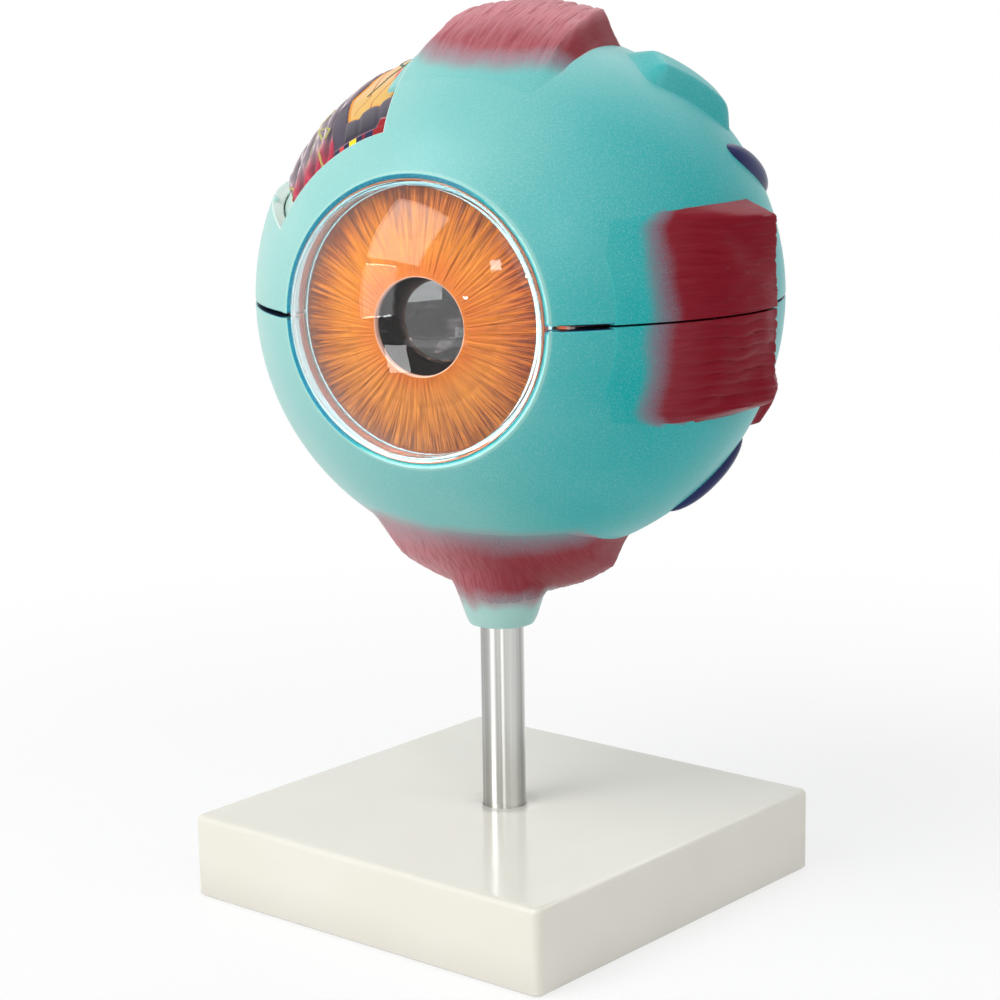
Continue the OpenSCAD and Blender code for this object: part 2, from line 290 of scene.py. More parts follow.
# ---------------------------------------------------------------- base plate and screws
# A flat plate of matt ivory plastic set into the base from below, held by four zinc-plated
# countersunk screws with cross recesses. It stands on the table with the base's rim.
screw_low, screw_head_top = 0.25, 1.8
head_radius, shank_radius = 2.9, 1.4
plate_plastic, tree, surface = finish_of("plate_plastic", (224, 220, 206), 0.5)
rough_up(tree, surface, 0.5, 0.06, 0.05, per_metre=1500.0, grain=0.6, sinks=0.3)
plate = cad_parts["base_plate"]
plate.data.materials.clear()
plate.data.materials.append(plate_plastic)


def screw_shape(x, y):
    """A pan head with a cross recess on a plain shank."""
    count = 64
    turn = np.linspace(0, math.tau, count, endpoint=False) + math.pi / count
    rings = []
    for radius, height in ((0.02, screw_low + 0.9), (0.5, screw_low + 0.9), (1.5, screw_low + 0.1),
                           (2.3, screw_low), (head_radius - 0.2, screw_low + 0.15),
                           (head_radius, screw_low + 0.5), (head_radius, screw_head_top - 0.05),
                           (shank_radius, screw_head_top), (shank_radius, 8.6), (0.7, 9.1)):
        ring = circle(radius, height, count, (x, y))
        if 0.3 < radius < 1.6:
            arm = np.cos(2 * turn) ** 8
            ring[:, 0] = x + radius * np.cos(turn) * (0.4 + 0.6 * arm)
            ring[:, 1] = y + radius * np.sin(turn) * (0.4 + 0.6 * arm)
        rings.append(ring)
    return skin(rings)


zinc, tree, surface = finish_of("zinc_steel", (176, 178, 180), 0.32, Metallic=1.0)
rough_up(tree, surface, 0.32, 0.08, 0.01, per_metre=2500.0, grain=0.6, sinks=0.0)
screws = build("base_screw_set", join(*[screw_shape(x * screw_place, y * screw_place)
                                        for x in (-1, 1) for y in (-1, 1)]), zinc)
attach(screws, "stand")
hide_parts("base_screws")

# ---------------------------------------------------------------- rod
# A length of 12 mm bright drawn steel bar with chamfered ends, pushed into the base's boss.
# Drawing left it with fine upright streaks over its whole length. Broader light and dark upright
# bands are painted on as painted highlights and painted reflections, given at compass angles round
# the bar, in degrees from straight ahead.
rod_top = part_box("rod")[1].z / MM
chamfer = 0.6
rod_steel, tree, surface = finish_of("drawn_steel", (190, 189, 186), 0.24, Metallic=1.0, Anisotropic=0.55,
                                     Anisotropic_Rotation=0.25)
place = node(tree, "TexCoord").outputs["Object"]
stretched = node(tree, "Mapping", {"Vector": place, "Scale": (60.0, 60.0, 5200.0)})
rings_left = node(tree, "TexNoise", {"Vector": stretched.outputs["Vector"], "Scale": 1.0, "Detail": 2.0})
cloudy = node(tree, "TexNoise", {"Vector": place, "Scale": 90.0, "Detail": 3.0})
dulled = math_node(tree, "MULTIPLY_ADD", rings_left.outputs["Fac"], 0.05, 0.17)
dulled = math_node(tree, "MULTIPLY_ADD", cloudy.outputs["Fac"], 0.06, dulled)
tree.links.new(dulled, surface.inputs["Roughness"])
# Painted highlights and painted reflections: the light and dark upright bands, stored per point.
drawn = node(tree, "Attribute", attribute_name="drawn").outputs["Fac"]
streaks = node(tree, "Mapping", {"Vector": place, "Scale": (1300.0, 1300.0, 9.0)})
fine_streaks = node(tree, "TexNoise", {"Vector": streaks.outputs["Vector"], "Scale": 1.0, "Detail": 3.0})
shade = math_node(tree, "MULTIPLY_ADD", fine_streaks.outputs["Fac"], 0.36, -0.18)
highlights_and_streaks = math_node(tree, "ADD", drawn, shade, clamp=True)
tree.links.new(mixed(tree, highlights_and_streaks, (96, 95, 93), (255, 255, 252)), surface.inputs["Base Color"])
rod_outline = [(0, rod_foot), (rod_radius - chamfer, rod_foot), (rod_radius, rod_foot + chamfer)]
rod_outline += [(rod_radius, z) for z in np.linspace(rod_foot + 2, rod_top - 2, 12)]
rod_outline += [(rod_radius, rod_top - chamfer), (rod_radius - chamfer, rod_top), (0, rod_top)]
bar = build("steel_bar", lathe(rod_outline, 240), rod_steel)
compass = [math.degrees(math.atan2(v.co.x, -v.co.y)) for v in bar.data.vertices]
# Painted highlights and painted reflections: the bands' brightness at compass angles round the bar.
highlight_bands = ((-180, 0.62), (-150, 0.45), (-141, 0.95), (-132, 0.5), (-95, 0.6), (-60, 0.3), (-40, 0.22),
         (-22, 0.34), (-8, 0.36), (3, 0.42), (9, 0.94), (16, 1.0), (21, 0.5), (30, 0.42), (34.5, 0.46),
         (37, 0.95), (41, 0.95), (44, 0.5), (60, 0.56), (78, 0.48), (95, 0.3), (118, 0.55),
         (126, 0.9), (136, 0.5), (180, 0.62))
drawn = bar.data.attributes.new("drawn", "FLOAT", "POINT")
drawn.data.foreach_set("value", np.interp(compass, *zip(*highlight_bands)).astype(np.float32))
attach(bar, "stem")
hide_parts("rod")

# ---------------------------------------------------------------- sclera, lower half
# Half a ball of moulded plastic, satin sprayed: mint in front and on the medial side, deeper
# teal to the lateral side, partly the paint's own two tones and partly painted shade on the side
# away from the lamps, with the muscles' crimson sprayed over their edges. Its seam face, the round
# opening for the cornea and the half bore of the optic nerve are trimmed by machine; the seam face
# and the opening's bevel on the medial side are painted dark, as painted shade in the gap and in
# the recess.
EYE_YAW = math.radians(13.6)
EYE_BACK = 14.4
EYE_HEIGHT = 163.5
BALL = 72.0
SCLERA_IN = 68.6
SEAM = 0.25
LIMBUS = 36.1
NERVE_TURN = 15.0
nerve_bore = 9.7
mint = (156, 204, 197)
teal = (8, 166, 168)
# Painted shade: deep blue for the round opening's bevel on the medial side.
bevel_shade_blue = (10, 120, 152)
bare_plastic = (236, 240, 234)
crimson = (124, 0, 26)
# Dusty pink: partly pinker paint, partly painted light where the muscles face the lamps.
pink_and_lit_red = (190, 122, 130)
# Painted shade: navy for the seam faces in the gap between the halves.
seam_shade_navy = (6, 30, 60)


def on_rod(points):
    """From the eye's own frame to the whole model's, both in millimetres."""
    p = np.asarray(points, float).reshape(-1, 3) + np.array([0, EYE_BACK, EYE_HEIGHT])
    c, s = math.cos(EYE_YAW), math.sin(EYE_YAW)
    return np.stack([p[:, 0] * c - p[:, 1] * s, p[:, 0] * s + p[:, 1] * c, p[:, 2]], 1)


def in_eye(piece):
    """The points of a piece's mesh in the eye's own frame, in millimetres."""
    p = np.empty(len(piece.data.vertices) * 3)
    piece.data.vertices.foreach_get("co", p)
    p = p.reshape(-1, 3) / MM
    c, s = math.cos(EYE_YAW), math.sin(EYE_YAW)
    return np.stack([p[:, 0] * c + p[:, 1] * s, -p[:, 0] * s + p[:, 1] * c - EYE_BACK,
                     p[:, 2] - EYE_HEIGHT], 1)


def note(piece, name, values):
    """Stores a value or a vector at each point of a piece, for its material to read."""
    values = np.asarray(values, np.float32)
    kind = "FLOAT" if values.ndim == 1 else "FLOAT_VECTOR"
    spot = piece.data.attributes.new(name, kind, "POINT")
    spot.data.foreach_set("value" if values.ndim == 1 else "vector", values.ravel())


def crimson_spray(p, margin=0.3):
    """How much crimson lies at each point, 0 to 1; it ends margin beyond the stumps' sides."""
    x, y, z = p.T
    total = np.zeros(len(p))
    ragged = waves(x, z, 5, 7) * 0.5
    for side, along_front, along_back in ((1, -41.5, -1.0), (-1, -27.0, 8.0)):
        front = along_front + 0.003 * z ** 2 - 1.2 * (z < 0) + ragged
        front = front + 5.0 * smooth(21, 28.5, abs(z)) ** 2
        inside = 1 - smooth(27.6 + margin, 28 + margin, abs(z))
        red = smooth(front - 4.0, front + 4.5, y)
        red *= (1 - smooth(along_back, along_back + 1.0, y)) * inside
        total = np.maximum(total, red * (side * x > 40))
    front = -33.0 + 0.02 * (x - 5) ** 2 + ragged
    red = smooth(front - 6, front + 6, y) * (1 - smooth(9, 10, y))
    red *= smooth(-18.2 - margin, -17.8 - margin, x) * (1 - smooth(26.8 + margin, 27.2 + margin, x))
    red *= z > 40
    total = np.maximum(total, red)
    front = -40.0 + 0.012 * (x + 4) ** 2 + ragged
    red = smooth(front - 8, front + 6, y) * (1 - smooth(0, 1.0, y))
    red *= smooth(-33.5, -30.5, x) * (1 - smooth(32.6 + margin, 33 + margin, x)) * (z < -40)
    from_rod = np.hypot(x, y + EYE_BACK)
    down_socket = smooth(-84.0, -76.0, z + 0.8 * waves(x, y, 8, 4))
    red *= 1 - (1 - smooth(13, 17, from_rod)) * (1 - down_socket)
    return np.maximum(total, red)


def teal_depth_and_shade(p):
    """0 where the paint is mint, 1 where it is deep teal. It deepens towards the lateral side, partly
    the paint's own two tones and partly painted shade, and it is paler low on the socket.
    """
    direction = p / np.linalg.norm(p, axis=1)[:, None]
    lateral = direction @ np.array([0.93, 0.25, -0.16]) - 0.6 * smooth(-71.5, -78, p[:, 2])
    return np.clip((lateral + 0.95) / 1.55 + 0.04 * waves(p[:, 0], p[:, 2], 3, 16), 0, 1)


def sprayed_paint(name, fibres=False):
    """Satin paint of the ball or, with fibres, of a muscle stump, sharing one spray of crimson."""
    material, tree, surface = finish_of(name, mint, 0.4, Specular_IOR_Level=0.1 if fibres else 0.3)
    used, _ = rough_up(tree, surface, 0.34, 0.05, 0.024, per_metre=2000.0, grain=0.7, sinks=0.5)
    paint = node(tree, "Attribute", attribute_name="paint")
    parts = node(tree, "SeparateXYZ", {"Vector": paint.outputs["Vector"]})
    ramp = node(tree, "ValToRGB", {"Fac": math_node(tree, "MULTIPLY", parts.outputs["Y"], 0.5)})
    stops = ramp.color_ramp.elements
    stops[0].position, stops[0].color = 0.0, (*linear(mint), 1)
    stops[1].position, stops[1].color = 0.5, (*linear(teal), 1)
    # Deep blue and navy: painted shade on the opening's bevel and on the seam faces.
    for place, colour in ((0.85, bevel_shade_blue), (1.0, seam_shade_navy)):
        stop = stops.new(place)
        stop.color = (*linear(colour), 1)
    # A faint white wash in specks and patches: speckle in the spray, and partly a painted sheen.
    specks = math_node(tree, "MULTIPLY_ADD", used.outputs["Speckle"], 0.3, -0.14)
    patchy = math_node(tree, "MULTIPLY_ADD", used.outputs["Mottle"], 0.08, -0.04)
    washed_and_sheen = mixed(tree, math_node(tree, "ADD", specks, patchy, clamp=True), ramp.outputs["Color"],
                   (255, 255, 255))
    bare = mixed(tree, parts.outputs["Z"], washed_and_sheen, bare_plastic)
    # tint turns the crimson towards dusty pink and brings up pale and dark streaks along the fibres. It is
    # higher on tops and sides facing the lamps: partly pinker paint, partly painted light.
    tint = node(tree, "Attribute", attribute_name="tint").outputs["Fac"]
    red = mixed(tree, tint, crimson, pink_and_lit_red)
    if fibres:
        along = node(tree, "Attribute", attribute_name="fibre")
        streak = node(tree, "TexNoise", {"Vector": along.outputs["Vector"], "Scale": 1.0, "Detail": 4.0})
        pale = node(tree, "MapRange", {"Value": streak.outputs["Fac"], "From Min": 0.35, "From Max": 0.7})
        shown = math_node(tree, "MULTIPLY", pale.outputs["Result"],
                          math_node(tree, "MULTIPLY_ADD", tint, 0.6, 0.02))
        red = mixed(tree, shown, red, (206, 126, 136))
        dark = node(tree, "MapRange", {"Value": streak.outputs["Fac"], "From Min": 0.48, "From Max": 0.36})
        shown = math_node(tree, "MULTIPLY", dark.outputs["Result"], math_node(tree, "MULTIPLY", tint, 0.7))
        red = mixed(tree, shown, red, (150, 52, 62))
    grains = math_node(tree, "MULTIPLY_ADD", used.outputs["Speckle"], 1.1, -0.55)
    open_part = math_node(tree, "SUBTRACT", 1.0, parts.outputs["X"])
    between = math_node(tree, "MULTIPLY", math_node(tree, "MULTIPLY", parts.outputs["X"], open_part), 4.0)
    speckled = math_node(tree, "MULTIPLY", grains, between)
    cover = math_node(tree, "ADD", parts.outputs["X"], speckled, clamp=True)
    mist = mixed(tree, tint, (140, 96, 122), (200, 134, 148))
    misty = mixed(tree, math_node(tree, "MULTIPLY", between, 0.42), mixed(tree, cover, bare, red), mist)
    tree.links.new(misty, surface.inputs["Base Color"])
    return material


def stops_between(stops, steps):
    """Angles with one at every stop, and between them parts of about a step, or each its own."""
    found = [stops[0]]
    for low, high, step in zip(stops, stops[1:], np.broadcast_to(steps, len(stops) - 1)):
        parts = max(1, round((high - low) / step))
        found += [low + (high - low) * (k + 1) / parts for k in range(parts)]
    return np.array(found)


def shell_rows(outer_stops, inner_stops, step):
    """Polar angles of a shell's rows outside and inside, with a row at every stop."""
    outer = stops_between(outer_stops, step)
    return outer, np.interp(outer, outer_stops, inner_stops)


def half_sheet(side, radius, rows, columns, widened=0.0):
    """Grid of points on half a sphere; radius may be a grid, and the seam widened in front."""
    polar = np.radians(rows)[:, None]
    about = np.radians(columns)[None, :]
    radius = np.broadcast_to(radius, (len(rows), len(columns)))
    off_axis = radius * np.sin(polar)
    gap = SEAM + widened * smooth(15, 60, radius * np.cos(polar))
    lift = np.arcsin(np.clip(gap / np.maximum(off_axis, gap), 0, 1))
    turn = lift + (math.pi - 2 * lift) * about / math.pi
    return np.stack([off_axis * np.cos(turn), -radius * np.cos(polar) + 0 * turn,
                     side * off_axis * np.sin(turn)], -1)


def half_shell(side, outer, inner, hole=None):
    """Points and faces of a shell between two grids, with its rim and the rim of a hole."""
    rows, columns = outer.shape[:2]
    there = np.ones((rows - 1, columns - 1), bool)
    if hole:
        there[hole[0]:hole[1], hole[2]:hole[3]] = False
    points = np.concatenate([outer.reshape(-1, 3), inner.reshape(-1, 3)])
    shift = rows * columns
    padded = np.pad(there, 1)
    faces = []
    for i, k in zip(*np.nonzero(there)):
        a, b, c, d = i * columns + k, i * columns + k + 1, (i + 1) * columns + k + 1, (i + 1) * columns + k
        faces.append((a, b, c, d))
        faces.append((d + shift, c + shift, b + shift, a + shift))
        sides = (((a, b), (0, 1)), ((b, c), (1, 2)), ((c, d), (2, 1)), ((d, a), (1, 0)))
        for (one, two), (di, dk) in sides:
            if not padded[i + di, k + dk]:
                faces.append((two, one, one + shift, two + shift))
    return points, faces


def settle(piece):
    """Makes a piece's modifiers part of its mesh."""
    graph = bpy.context.evaluated_depsgraph_get()
    solid = bpy.data.meshes.new_from_object(piece.evaluated_get(graph))
    piece.modifiers.clear()
    piece.data = solid


def round_edges(piece, width, angle=30):
    """Breaks a half's sharp edges, but for those by the round opening and the rear pole."""
    work = bmesh.new()
    work.from_mesh(piece.data)
    share = work.edges.layers.float.new("bevel_weight_edge")
    p = in_eye(piece)
    free = (np.hypot(p[:, 0], p[:, 2]) > LIMBUS + 2.6) & (p[:, 1] < 55)
    for edge in work.edges:
        sharp = len(edge.link_faces) == 2 and edge.calc_face_angle() > math.radians(angle)
        edge[share] = float(sharp and all(free[corner.index] for corner in edge.verts))
    work.to_mesh(piece.data)
    work.free()
    bevel = piece.modifiers.new("broken_edges", "BEVEL")
    bevel.width = width * MM
    bevel.segments = 3
    bevel.limit_method = "WEIGHT"


def drill(piece, *cutters):
    """Takes round bars out of a piece."""
    bars = build("drill", join(*cutters), piece.data.materials[0])
    cut = piece.modifiers.new("bores", "BOOLEAN")
    cut.operation = "DIFFERENCE"
    cut.solver = "EXACT"
    cut.object = bars
    settle(piece)
    bpy.data.objects.remove(bars)


def bar_between(start, end, radius, count=48):
    """A round bar between two points of the eye's frame, as (points, faces)."""
    start, end = np.array(start, float), np.array(end, float)
    way = (end - start) / np.linalg.norm(end - start)
    side = np.cross(way, [0.3, 0.2, 0.9])
    side /= np.linalg.norm(side)
    up = np.cross(way, side)
    turn = np.linspace(0, math.tau, count, endpoint=False)
    ring = radius * (np.cos(turn)[:, None] * side + np.sin(turn)[:, None] * up)
    points, faces = skin([start + ring, end + ring])
    return on_rod(points), faces


def trimmed_half(side, shape, material, name):
    """A half of the sclera, drilled for the nerve and the locating pins, with broken edges."""
    piece = build(name, (on_rod(shape[0]), shape[1]), material)
    round_edges(piece, 0.5)
    pins = [bar_between((x, y, -4.2), (x, y, 4.2), pin_radius + 0.05, 16) for x, y in pin_places]
    drill(piece, bar_between(nerve_way * 55, nerve_way * 95, nerve_bore), *pins)
    piece.data.set_sharp_from_angle(angle=math.radians(35))
    spread_paint(piece)
    return piece


def spread_paint(piece):
    """Notes the paint on each point: crimson, depth of the teal with painted shade, and bare plastic
    inside. The painted shade is deep blue down the opening's medial bevel, navy on the seam faces
    and crimson down the window's sawn wall.
    """
    p = in_eye(piece)
    from_centre = np.linalg.norm(p, axis=1)
    off_axis = np.hypot(p[:, 0], p[:, 2])
    teal_and_shade = teal_depth_and_shade(p)
    # Paler lip round the opening, and its bevel deep blue on the medial side: painted shade in the recess
    # round the cornea.
    lip = (p[:, 1] < 0) * (1 - smooth(LIMBUS + 1.7, LIMBUS + 2.3, off_axis))
    shaded_bevel = lip * (1 - smooth(LIMBUS + 1.1, LIMBUS + 1.3, off_axis))
    to_medial = (0.87 * -p[:, 0] + 0.5 * p[:, 2]) / np.maximum(off_axis, 1)
    teal_and_shade = teal_and_shade * (1 - 0.75 * lip)
    teal_and_shade = teal_and_shade + (1.7 - teal_and_shade) * shaded_bevel * smooth(-0.3, 0.2, to_medial)
    inside = 1 - smooth(SCLERA_IN + 0.4, SCLERA_IN + 1.0, from_centre)
    about = np.degrees(np.arctan2(p[:, 2], -p[:, 0]))
    at_window = (about > WINDOW_ANGLES[0] - 1) & (about < WINDOW_ANGLES[1] + 1)
    at_window &= (-p[:, 1] < WINDOW_FRONT + 1) & (-p[:, 1] > -WINDOW_BACK - 1) & (off_axis > LIMBUS + 4)
    sawn = at_window * (from_centre < BALL - 0.03)
    # Crimson down the window's sawn wall below its bevel: painted shade along the cut.
    shaded_cut_wall = sawn * (from_centre < BALL - 0.9) * (about > 30)
    bare = np.maximum(inside, sawn * np.where(about > 30, 1.0, 0.55))
    in_opening = (p[:, 1] < -50) & (off_axis < LIMBUS + 0.4)
    bare = np.where(in_opening, 0.45 * bare, np.maximum(bare, 0.2 * smooth(-77, -80, p[:, 2])))
    teal_and_shade = np.where(in_opening, 1.5, teal_and_shade)
    # The seam faces are painted navy: painted shade in the gap between the halves.
    on_seam = abs(p[:, 2]) < SEAM + 0.12 + seam_opening * smooth(15, 60, -p[:, 1])
    on_seam &= from_centre < BALL - 0.2
    on_seam &= (from_centre > SCLERA_IN - 0.1) & (from_centre < BALL + 0.1)
    teal_and_shade = np.where(on_seam, 2.0, teal_and_shade)
    bare = np.where(on_seam, 0.0, bare)
    crimson_here = crimson_spray(p, -1.3) * (1 - np.maximum(np.maximum(inside, sawn), on_seam))
    note(piece, "paint", np.stack([np.maximum(crimson_here, 0.8 * shaded_cut_wall), teal_and_shade, bare], 1))
    # Pinker over the top of the ball and towards the medial side underneath: partly pinker paint, partly
    # painted light.
    note(piece, "tint", 0.8 * (p[:, 2] > 40) + (p[:, 2] < -45) * (0.4 + 0.5 * smooth(5, -25, p[:, 0])))


WINDOW_ANGLES = (26.0, 75.0)
WINDOW_FRONT = 53.0
WINDOW_BACK = 12.0
nerve_way = np.array([-math.sin(math.radians(NERVE_TURN)), math.cos(math.radians(NERVE_TURN)), 0])
pin_radius = 0.8
pin_ring = (BALL + SCLERA_IN) / 2
pin_places = [(pin_ring * math.sin(math.radians(a)), -pin_ring * math.cos(math.radians(a)))
              for a in (70, -70, 138, -138)]
bevel_points = ((LIMBUS + 0.05, 61.1), (LIMBUS + 1.05, 61.42))
bevel_rows = [math.degrees(math.atan2(*point)) for point in bevel_points]
inner_limbus = math.degrees(math.asin(LIMBUS / SCLERA_IN))
lip_rows = bevel_rows + [math.degrees(math.asin((LIMBUS + out) / BALL)) for out in (1.35, 1.75, 2.2)]
inner_lip_rows = [inner_limbus + further for further in (0, 0.7, 0.95, 1.3, 1.7)]
rear_row = 179.7
shell_step = 1.3
seam_opening, inner_opening = 0.42, 0.2


def outer_radii(rows):
    """The ball's radius at every row but those down the bevel of the round opening."""
    return np.interp(rows, lip_rows[:3], [math.hypot(*point) for point in bevel_points] + [BALL])[:, None]


rows_out, rows_in = shell_rows(lip_rows + [rear_row], inner_lip_rows + [rear_row], shell_step)
columns = stops_between([0, 180], shell_step)
sclera_paint = sprayed_paint("sclera_paint")
outside = half_sheet(-1, outer_radii(rows_out), rows_out, columns, seam_opening)
inside = half_sheet(-1, SCLERA_IN, rows_in, columns, inner_opening)
lower = trimmed_half(-1, half_shell(-1, outside, inside), sclera_paint, "sclera_lower_half")
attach(lower, "eye_lower")
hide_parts("sclera_lower")

# ---------------------------------------------------------------- rod socket
# Tapered stub moulded on the underside of the lower half, bored for the rod. The inferior
# rectus's crimson was sprayed down over it and fades to mint above its rim.
socket_z = 74.8 - EYE_HEIGHT
socket_radius = 9.2
socket_top_radius = 13.6
socket_flare = 13.6
socket_depth = 19.4


def socket_outline():
    """(radius, height) pairs round the rod's axis: bore, rounded rim, and the flare into the ball."""
    outline = [(0, socket_z + socket_depth), (rod_radius + 0.05, socket_z + socket_depth - 0.1)]
    outline += [(rod_radius + 0.05, socket_z + 0.5), (rod_radius + 0.45, socket_z)]
    outline += [(socket_radius - 0.8, socket_z), (socket_radius - 0.25, socket_z + 0.2),
                (socket_radius, socket_z + 0.7)]
    slope = (socket_top_radius - socket_radius) / socket_flare
    outline += [(socket_radius + slope * h, socket_z + h) for h in np.linspace(2, socket_flare, 16)]
    outline += [(socket_top_radius, socket_z + 21.5), (0, socket_z + 21.5)]
    return outline


shape = lathe(socket_outline(), 96, (0, -EYE_BACK))
socket = build("rod_socket", (on_rod(shape[0]), shape[1]), sclera_paint)
spread_paint(socket)
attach(socket, "eye_lower")

# ---------------------------------------------------------------- sclera, upper half
# The other half of the ball, with a window sawn into its medial side between two planes through
# the optical axis and two across it. It lifts off the lower half's locating pins.


def polar_at(distance_forward, radius):
    """Angle from the optical axis of a point that far in front of the ball's centre."""
    return math.degrees(math.acos(distance_forward / radius))


outer_stops = lip_rows + [polar_at(WINDOW_FRONT, BALL), polar_at(-WINDOW_BACK, BALL), rear_row]
inner_stops = inner_lip_rows + [polar_at(WINDOW_FRONT, SCLERA_IN), polar_at(-WINDOW_BACK, SCLERA_IN),
                                rear_row]
rows_out, rows_in = shell_rows(outer_stops, inner_stops, shell_step)
columns = stops_between([0, 180 - WINDOW_ANGLES[1], 180 - WINDOW_ANGLES[0], 180], shell_step)
window = (int(np.argmin(abs(rows_out - outer_stops[5]))), int(np.argmin(abs(rows_out - outer_stops[6]))),
          int(np.argmin(abs(columns - 180 + WINDOW_ANGLES[1]))),
          int(np.argmin(abs(columns - 180 + WINDOW_ANGLES[0]))))
outside = half_sheet(1, outer_radii(rows_out), rows_out, columns, seam_opening)
inside = half_sheet(1, SCLERA_IN, rows_in, columns, inner_opening)
upper = trimmed_half(1, half_shell(1, outside, inside, window), sclera_paint, "sclera_upper_half")
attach(upper, "eye_upper")
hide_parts("sclera_upper")

# ---------------------------------------------------------------- locating pins
# Four short steel pins with rounded ends, pressed into the lower half's seam face; the upper
# half drops over them.
pin_half = 4.0
pins = []
for x, y in pin_places:
    outline = [(0, -pin_half), (pin_radius, -pin_half + 0.1), (pin_radius, pin_half - 0.6),
               (pin_radius * 0.8, pin_half - 0.2), (pin_radius * 0.4, pin_half), (0, pin_half)]
    shape = lathe(outline, 24, (x, y))
    pins.append((on_rod(shape[0]), shape[1]))
pin_set = build("seam_pins", join(*pins), zinc)
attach(pin_set, "eye_lower")
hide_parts("locating_pins")

# ---------------------------------------------------------------- optic nerve and its sheath
# The nerve is a yellow painted plug held between two half sheaths, moulded on the sclera
# halves. Its cut end shows the nerve's bundles, with the central artery and vein.
NERVE_END = 90.0
nerve_radius = 9.6
sheath_radius = 13.0
side_way = np.array([nerve_way[1], -nerve_way[0], 0])


def along_nerve(radius, distance, turn):
    """Points round the nerve's axis, distance from the ball's centre."""
    turn = np.asarray(turn, float)
    return (nerve_way * distance + radius * (np.cos(turn)[:, None] * side_way
                                             + np.sin(turn)[:, None] * np.array([0, 0, 1.0])))


def sheath_shape(side):
    """Half a tube, flared where it has grown out of the ball."""
    rings = []
    flare = [(BALL - 2.6, 17.5), (BALL - 1.9, 16.6), (BALL - 0.6, 15.2), (BALL + 0.9, 14.1),
             (BALL + 2.6, 13.4), (BALL + 4.6, 13.05)]
    straight = [(d, sheath_radius) for d in np.linspace(BALL + 6, NERVE_END - 0.5, 10)]
    rounded = [(NERVE_END - 0.15, sheath_radius - 0.15), (NERVE_END, sheath_radius - 0.5)]
    inner = [(NERVE_END, nerve_bore + 0.5), (NERVE_END - 0.4, nerve_bore), (BALL - 2.6, nerve_bore)]
    for distance, radius in flare + straight + rounded + inner:
        gap = math.asin(SEAM / radius)
        turn = side * np.linspace(gap, math.pi - gap, 49)
        rings.append(along_nerve(radius, distance, turn))
    points, faces = skin(rings + [rings[0]], False, False, wrap=False)
    count = 49
    for end in (0, count - 1):
        faces.append(tuple(row * count + end for row in range(len(rings))))
    return on_rod(points), faces


for side, half, body in ((1, "upper", "eye_upper"), (-1, "lower", "eye_lower")):
    sheath = build("nerve_sheath_" + half, sheath_shape(side), sclera_paint)
    spread_paint(sheath)
    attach(sheath, body)
    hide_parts("optic_sheath_" + half)

nerve_rings = []
full_turn = np.linspace(0, math.tau, 72, endpoint=False)
for distance, radius in ((SCLERA_IN + 0.6, nerve_radius), (NERVE_END - 0.5, nerve_radius),
                         (NERVE_END - 0.1, nerve_radius - 0.5)):
    nerve_rings.append(along_nerve(radius, distance, full_turn))
for radius in np.linspace(nerve_radius - 1, 0.3, 26):
    ring = along_nerve(radius, NERVE_END, full_turn)
    bundles = 0.22 * np.cos(full_turn * max(1, round(radius * 2.6))) * math.cos(radius * math.tau / 1.9)
    dips = np.zeros(72)
    for centre in (1.6, -1.6):
        away = np.hypot(radius * np.cos(full_turn) - centre, radius * np.sin(full_turn))
        dips += 0.5 * (1 - smooth(0.6, 1.3, away))
    nerve_rings.append(ring + nerve_way * np.minimum(bundles - dips - 0.15, 0)[:, None])
points, faces = skin(nerve_rings)
nerve_paint, tree, surface = finish_of("nerve_paint", (222, 186, 74), 0.42)
rough_up(tree, surface, 0.42, 0.05, 0.05)
told = node(tree, "Attribute", attribute_name="vessel")
vessels = node(tree, "SeparateXYZ", {"Vector": told.outputs["Vector"]})
yellow = mixed(tree, vessels.outputs["Z"], (226, 190, 78), (190, 142, 44))
reddened = mixed(tree, vessels.outputs["X"], yellow, (168, 24, 26))
tree.links.new(mixed(tree, vessels.outputs["Y"], reddened, (24, 44, 120)), surface.inputs["Base Color"])
plug = build("optic_nerve_plug", (on_rod(points), faces), nerve_paint)
p = in_eye(plug)
across, up, out = p @ side_way, p[:, 2], p @ nerve_way
at_end = out > NERVE_END - 1.2
artery = at_end * (1 - smooth(0.9, 1.3, np.hypot(across - 1.6, up)))
vein_spot = at_end * (1 - smooth(0.9, 1.3, np.hypot(across + 1.6, up)))
note(plug, "vessel", np.stack([artery, vein_spot, at_end * smooth(0.0, 0.3, NERVE_END - out)], 1))
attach(plug, "eye_lower")
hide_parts("optic_nerve")

# ---------------------------------------------------------------- rectus muscles
# Stumps of the straight muscles, moulded on the ball as raised slabs with grooved fibres, cut
# square behind and feathered into the ball in front, where the crimson paint fades out.
UP, DOWN = np.array([0, 0, 1.0]), np.array([0, 0, -1.0])
LATERAL, MEDIAL = np.array([1.0, 0, 0]), np.array([-1.0, 0, 0])
BACKWARDS = np.array([0, 1.0, 0])
buried = BALL - 0.5
muscle_step = 0.45
lateral_centre, lateral_radius = (13.85, 0, 0), 61.8
upright_centre, upright_radius = (15.05, 12.0), 62.0
medial_centre, medial_radius = (-22.0, 6.0, 0), 54.2
superior_centre, superior_radius = (1.8, 11.2, 9.6), 70.0
inferior_centre, inferior_radius = (-3.1, 6.4, -27.2), 56.6
muscle_paint = sprayed_paint("muscle_paint", fibres=True)


def rounded_edge(distance, width):
    """Height share of an edge rounded over width."""
    near = np.clip(distance / width, 0, 1)
    return np.sqrt(1 - (1 - near) ** 2)


def swelling_edge(distance, width):
    """Height share of an edge that swells out of the ball without a crease."""
    return smooth(0, 1, distance / width)


def sloped_edge(distance, width):
    """Height share of a sloping flank with a soft foot and shoulder."""
    return smooth(-0.12, 1.0, distance / width) * 0.35 + 0.65 * np.clip(distance / width, 0, 1)


